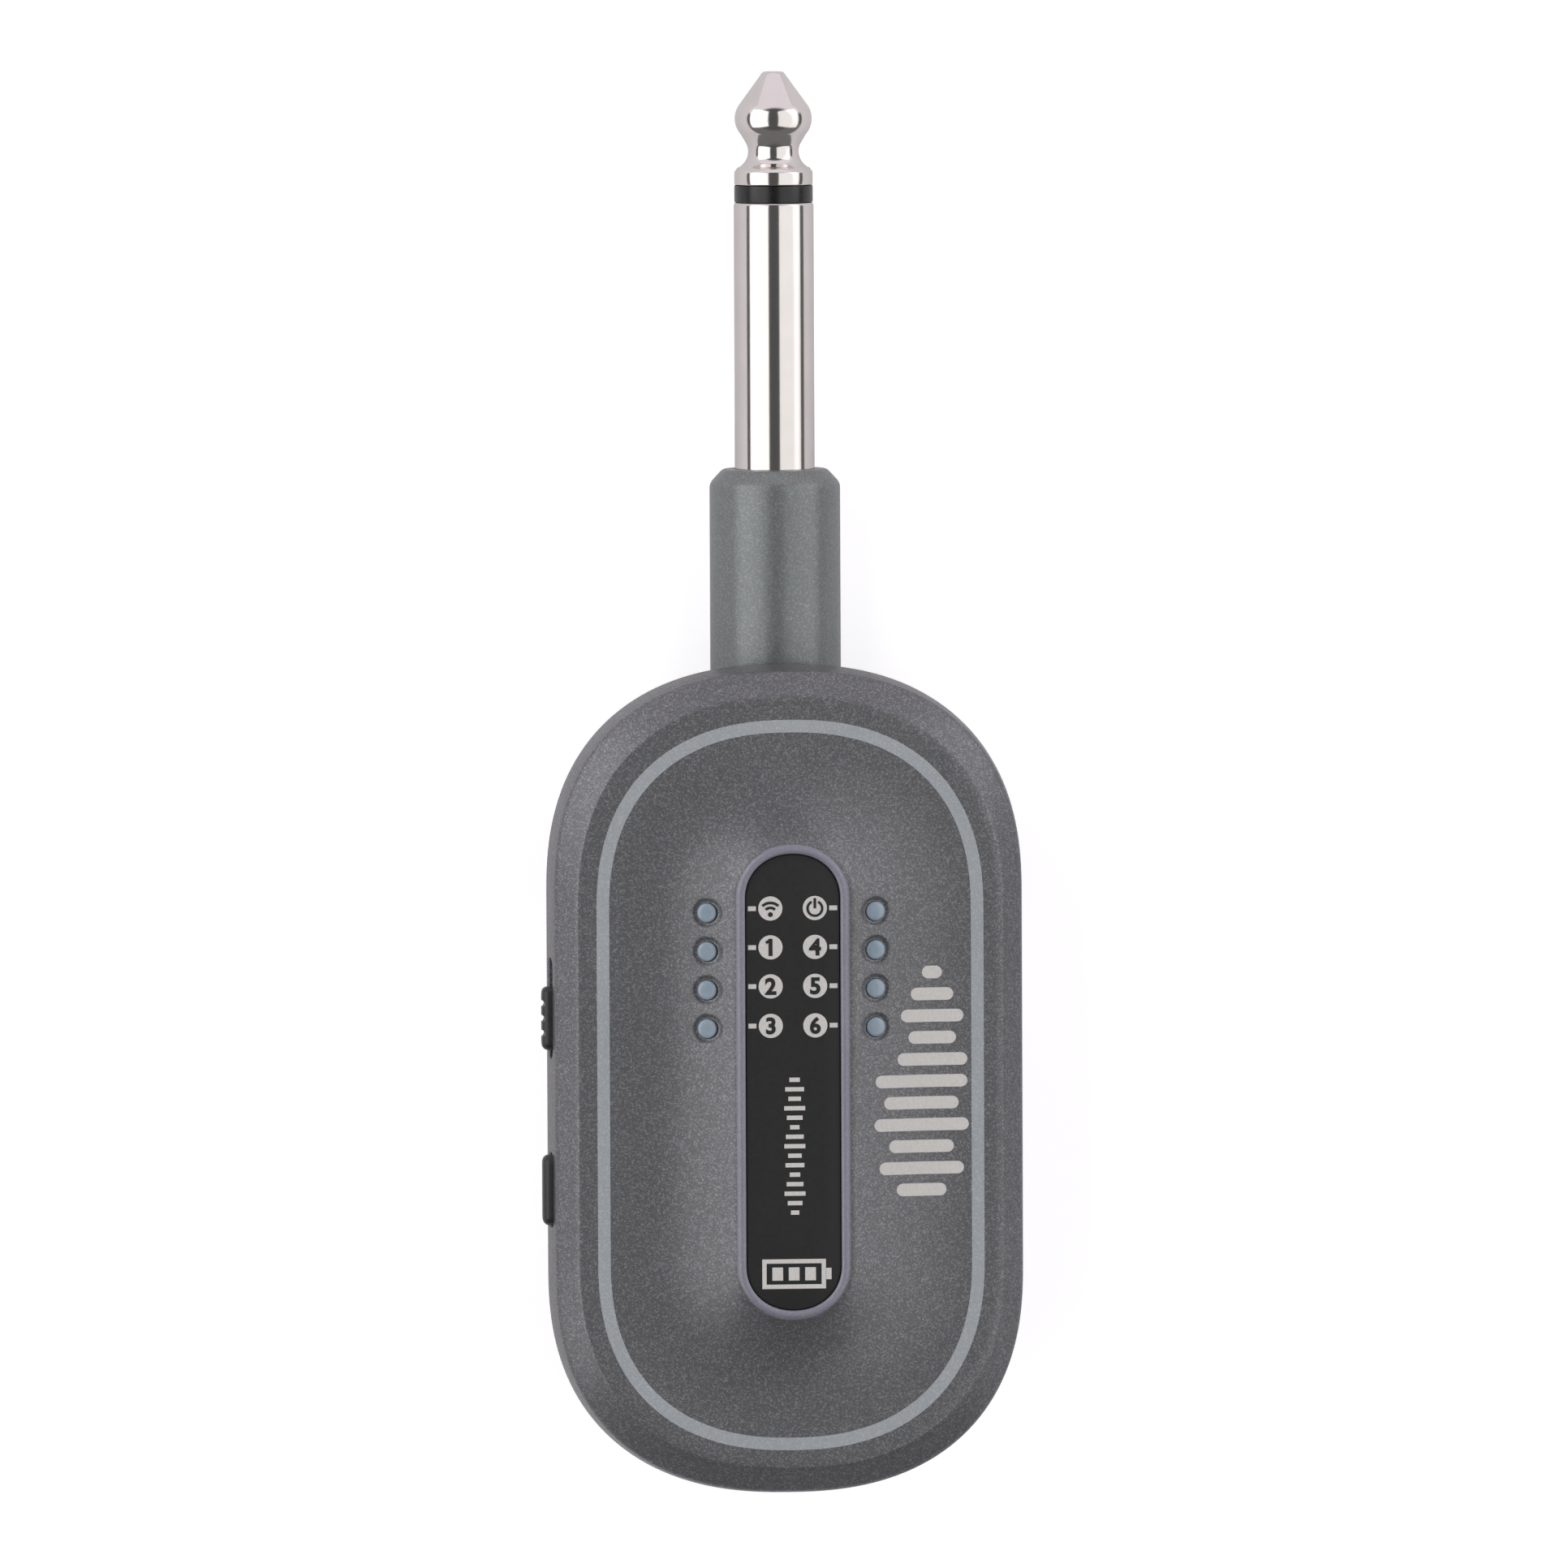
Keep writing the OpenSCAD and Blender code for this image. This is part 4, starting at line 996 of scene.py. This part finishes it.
knob_rows = ((-HALF_W + 1.6, 0), (-OUT + 0.5, 0), (-OUT + 0.3, -0.05), (-OUT + 0.14, -0.15),
             (-OUT + 0.04, -0.29), (-OUT, -0.48))
knob = side_loft(knob_rows, KNOB_Y, CONTROL_Z, KNOB_L, CONTROL_H).piece("power_knob_cap", key_black)
for i in (-1, 0, 1):
    centre = (-OUT - 0.04, KNOB_Y + i * GROOVE_PITCH, CONTROL_Z)
    carve(knob, lathe(((GROOVE_R, -3), (GROOVE_R, 3)), centre, "Z", 32))
add_flange(knob, KNOB_Y, CONTROL_Z - 0.05, 5.2, 1.4, 1.56, 2.3)
place_piece(knob, 38, "power_knob", "black_moulding", "switch_knob")

button_rows = ((-HALF_W + 1.6, 0), (-OUT + 0.5, 0), (-OUT + 0.28, -0.07), (-OUT + 0.12, -0.2),
               (-OUT + 0.03, -0.4), (-OUT, -0.7))
button = side_loft(button_rows, BUTTON_Y, CONTROL_Z, BUTTON_L, BUTTON_H).piece("channel_key_cap", key_black)
add_flange(button, BUTTON_Y, CONTROL_Z, 3.6, 1.3, 1.55, 2.05)
place_piece(button, 38, "channel_key", "black_moulding", "channel_button")

# ---- Parts that stay as they were designed ------------------------------------------------
# The steel plate, the charging socket, the board with its chips, the battery and the parts of
# the swivel keep the shapes of the design and take the finish of the real materials.
plate_steel = metal("plate_steel", (0.045, 0.048, 0.05), (0.07, 0.073, 0.076), 0.45, 1300, 0.7)
tin = metal("tin", (0.50, 0.51, 0.53), (0.60, 0.61, 0.63), 0.30)
brass = metal("brass", (0.52, 0.38, 0.17), (0.62, 0.47, 0.24), 0.25)
foil = metal("foil", (0.50, 0.51, 0.54), (0.58, 0.59, 0.62), 0.35, 700, 0.8)
finishes = {
    "plate_paint": plate_steel, "tinned_steel": tin, "brass": brass, "steel": bright_steel,
    "battery_foil": foil, "black_moulding": black_plastic, "nickel": nickel, "lens": lens_blue,
    "arm_paint": arm_paint, "shell_paint": shell_paint, "label_black": label_black,
    "black_steel": black_steel, "silver_label": silver_film,
    "board_green": surface("solder_mask", (0.008, 0.075, 0.035), (0.014, 0.11, 0.05), 900, 0.3),
    "chip_black": surface("chip_epoxy", (0.012, 0.012, 0.012), (0.02, 0.02, 0.02), 6000, 0.55),
    "led_white": surface("led_package", (0.74, 0.74, 0.62), (0.82, 0.82, 0.72), 2500, 0.35),
    "ceramic": surface("antenna_ceramic", (0.68, 0.63, 0.53), (0.78, 0.73, 0.63), 2500, 0.5),
    "component_tan": surface("chip_part", (0.30, 0.21, 0.12), (0.40, 0.29, 0.17), 3000, 0.5),
    "nylon": surface("natural_nylon", (0.66, 0.64, 0.56), (0.74, 0.72, 0.64), 1200, 0.45),
    "foam": surface("foam", (0.015, 0.015, 0.015), (0.035, 0.035, 0.035), 3500, 0.9),
    "wire_red": surface("red_sleeve", (0.40, 0.008, 0.008), (0.52, 0.014, 0.012), 1200, 0.4),
    "wire_black": surface("black_sleeve", (0.010, 0.010, 0.011), (0.018, 0.018, 0.019), 1200, 0.4),
}
slot_of = {row["node"]: row["material_slot"] for row in frame["record"]["subparts"]}
for name, obj in frame["nodes"].items():
    obj.data.materials.clear()
    obj.data.materials.append(finishes[slot_of[name]])

# ---- Floor and light ----------------------------------------------------------------------
# A plain pale table, which glows a little for the camera alone, and two long soft boxes that
# lean over the object from both sides. The gap between them leaves the dark core in the nickel.
floor_paint, floor_tree, floor_shader = principled("floor_paint")
FLOOR_HALF, FLOOR_DROP, FLOOR_GLOW = 2.5, 0.00002, 0.55
set_inputs(floor_shader, {"Roughness": 0.9, "Base Color": (0.90, 0.88, 0.90, 1),
                          "Emission Color": (1, 1, 1, 1)})
floor_seen = node(floor_tree, "ShaderNodeLightPath", (-380, -320))
floor_glow = node(floor_tree, "ShaderNodeMath", (-20, -200), operation="MULTIPLY")
floor_glow.inputs[1].default_value = FLOOR_GLOW
wire(floor_tree, floor_seen, "Is Camera Ray", floor_glow, 0)
wire(floor_tree, floor_glow, "Value", floor_shader, "Emission Strength")
ground_mesh = bpy.data.meshes.new("floor")
floor_corners = [(-sx * FLOOR_HALF, -sy * FLOOR_HALF, -FLOOR_DROP) for sx, sy in CORNERS]
ground_mesh.from_pydata(floor_corners, [], [(0, 1, 2, 3)])
ground_mesh.materials.append(floor_paint)
floor = add_object("floor", ground_mesh)

BOX_AWAY, BOX_RISE, BOX_LONG, BOX_ALONG = 0.8, 0.01, 1.30, 0.13


def soft_box(name, first, last, watts):
    """A soft box that fills the angles from first to last, in degrees from straight above."""
    middle = math.radians((first + last) / 2)
    lamp = bpy.data.lights.new(name, "AREA")
    lamp.shape = "RECTANGLE"
    lamp.size = 2 * BOX_AWAY * math.tan(math.radians(last - first) / 2)
    lamp.size_y = BOX_LONG
    lamp.energy = watts
    holder = add_object(name, lamp)
    holder.location = (BOX_AWAY * math.sin(middle), BOX_ALONG, BOX_RISE + BOX_AWAY * math.cos(middle))
    holder.rotation_euler = (0, middle, 0)
    holder.visible_camera = False


soft_box("left_box", -79, -20.5, 5.1)
soft_box("right_box", 10.5, 77, 4.5)

# The rest of the room, white to the camera. In reflections it is dark overhead and on both
# sides, and pale lilac low down beyond the plug's end, fading towards the foot of the case.
world = bpy.data.worlds.new("studio")
bpy.context.scene.world = world
world.use_nodes = True
room = world.node_tree
sky = room.nodes["Background"]
room_place = node(room, "ShaderNodeTexCoord", (-1100, 0))
room_parts = node(room, "ShaderNodeSeparateXYZ", (-920, 0))
wire(room, room_place, "Generated", room_parts, "Vector")
room_side = node(room, "ShaderNodeMath", (-740, 160), operation="ABSOLUTE")
wire(room, room_parts, "X", room_side, 0)


def room_step(value, first, last, start, stop, at):
    made = node(room, "ShaderNodeMapRange", at, interpolation_type="SMOOTHSTEP")
    set_inputs(made, {"From Min": first, "From Max": last, "To Min": start, "To Max": stop})
    room.links.new(value, made.inputs["Value"])
    return made.outputs["Result"]


def room_times(a, b, at):
    made = node(room, "ShaderNodeMath", at, operation="MULTIPLY")
    room.links.new(a, made.inputs[0])
    room.links.new(b, made.inputs[1])
    return made.outputs["Value"]


low_part = room_step(room_parts.outputs["Z"], 0.46, 0.66, 1.0, 0.0, (-560, 0))
end_part = room_step(room_parts.outputs["Y"], -0.6, 0.6, 0.10, 0.95, (-560, -260))
side_part = room_step(room_side.outputs["Value"], 0.90, 0.97, 1.0, 0.05, (-560, 260))
glow = room_times(room_times(low_part, end_part, (-380, 0)), side_part, (-200, 0))
room_mix = node(room, "ShaderNodeMix", (-20, 0), data_type="RGBA")
set_inputs(room_mix, {6: (0.10, 0.10, 0.10, 1), 7: (1.0, 0.95, 1.02, 1)})
room.links.new(glow, room_mix.inputs["Factor"])
room_seen = node(room, "ShaderNodeLightPath", (-20, -300))
room_white = node(room, "ShaderNodeMix", (160, 0), data_type="RGBA")
room_white.inputs[7].default_value = (1, 1, 1, 1)
wire(room, room_seen, "Is Camera Ray", room_white, "Factor")
wire(room, room_mix, 2, room_white, 6)
wire(room, room_white, 2, sky, "Color")
bpy.context.scene.view_settings.view_transform = "Standard"
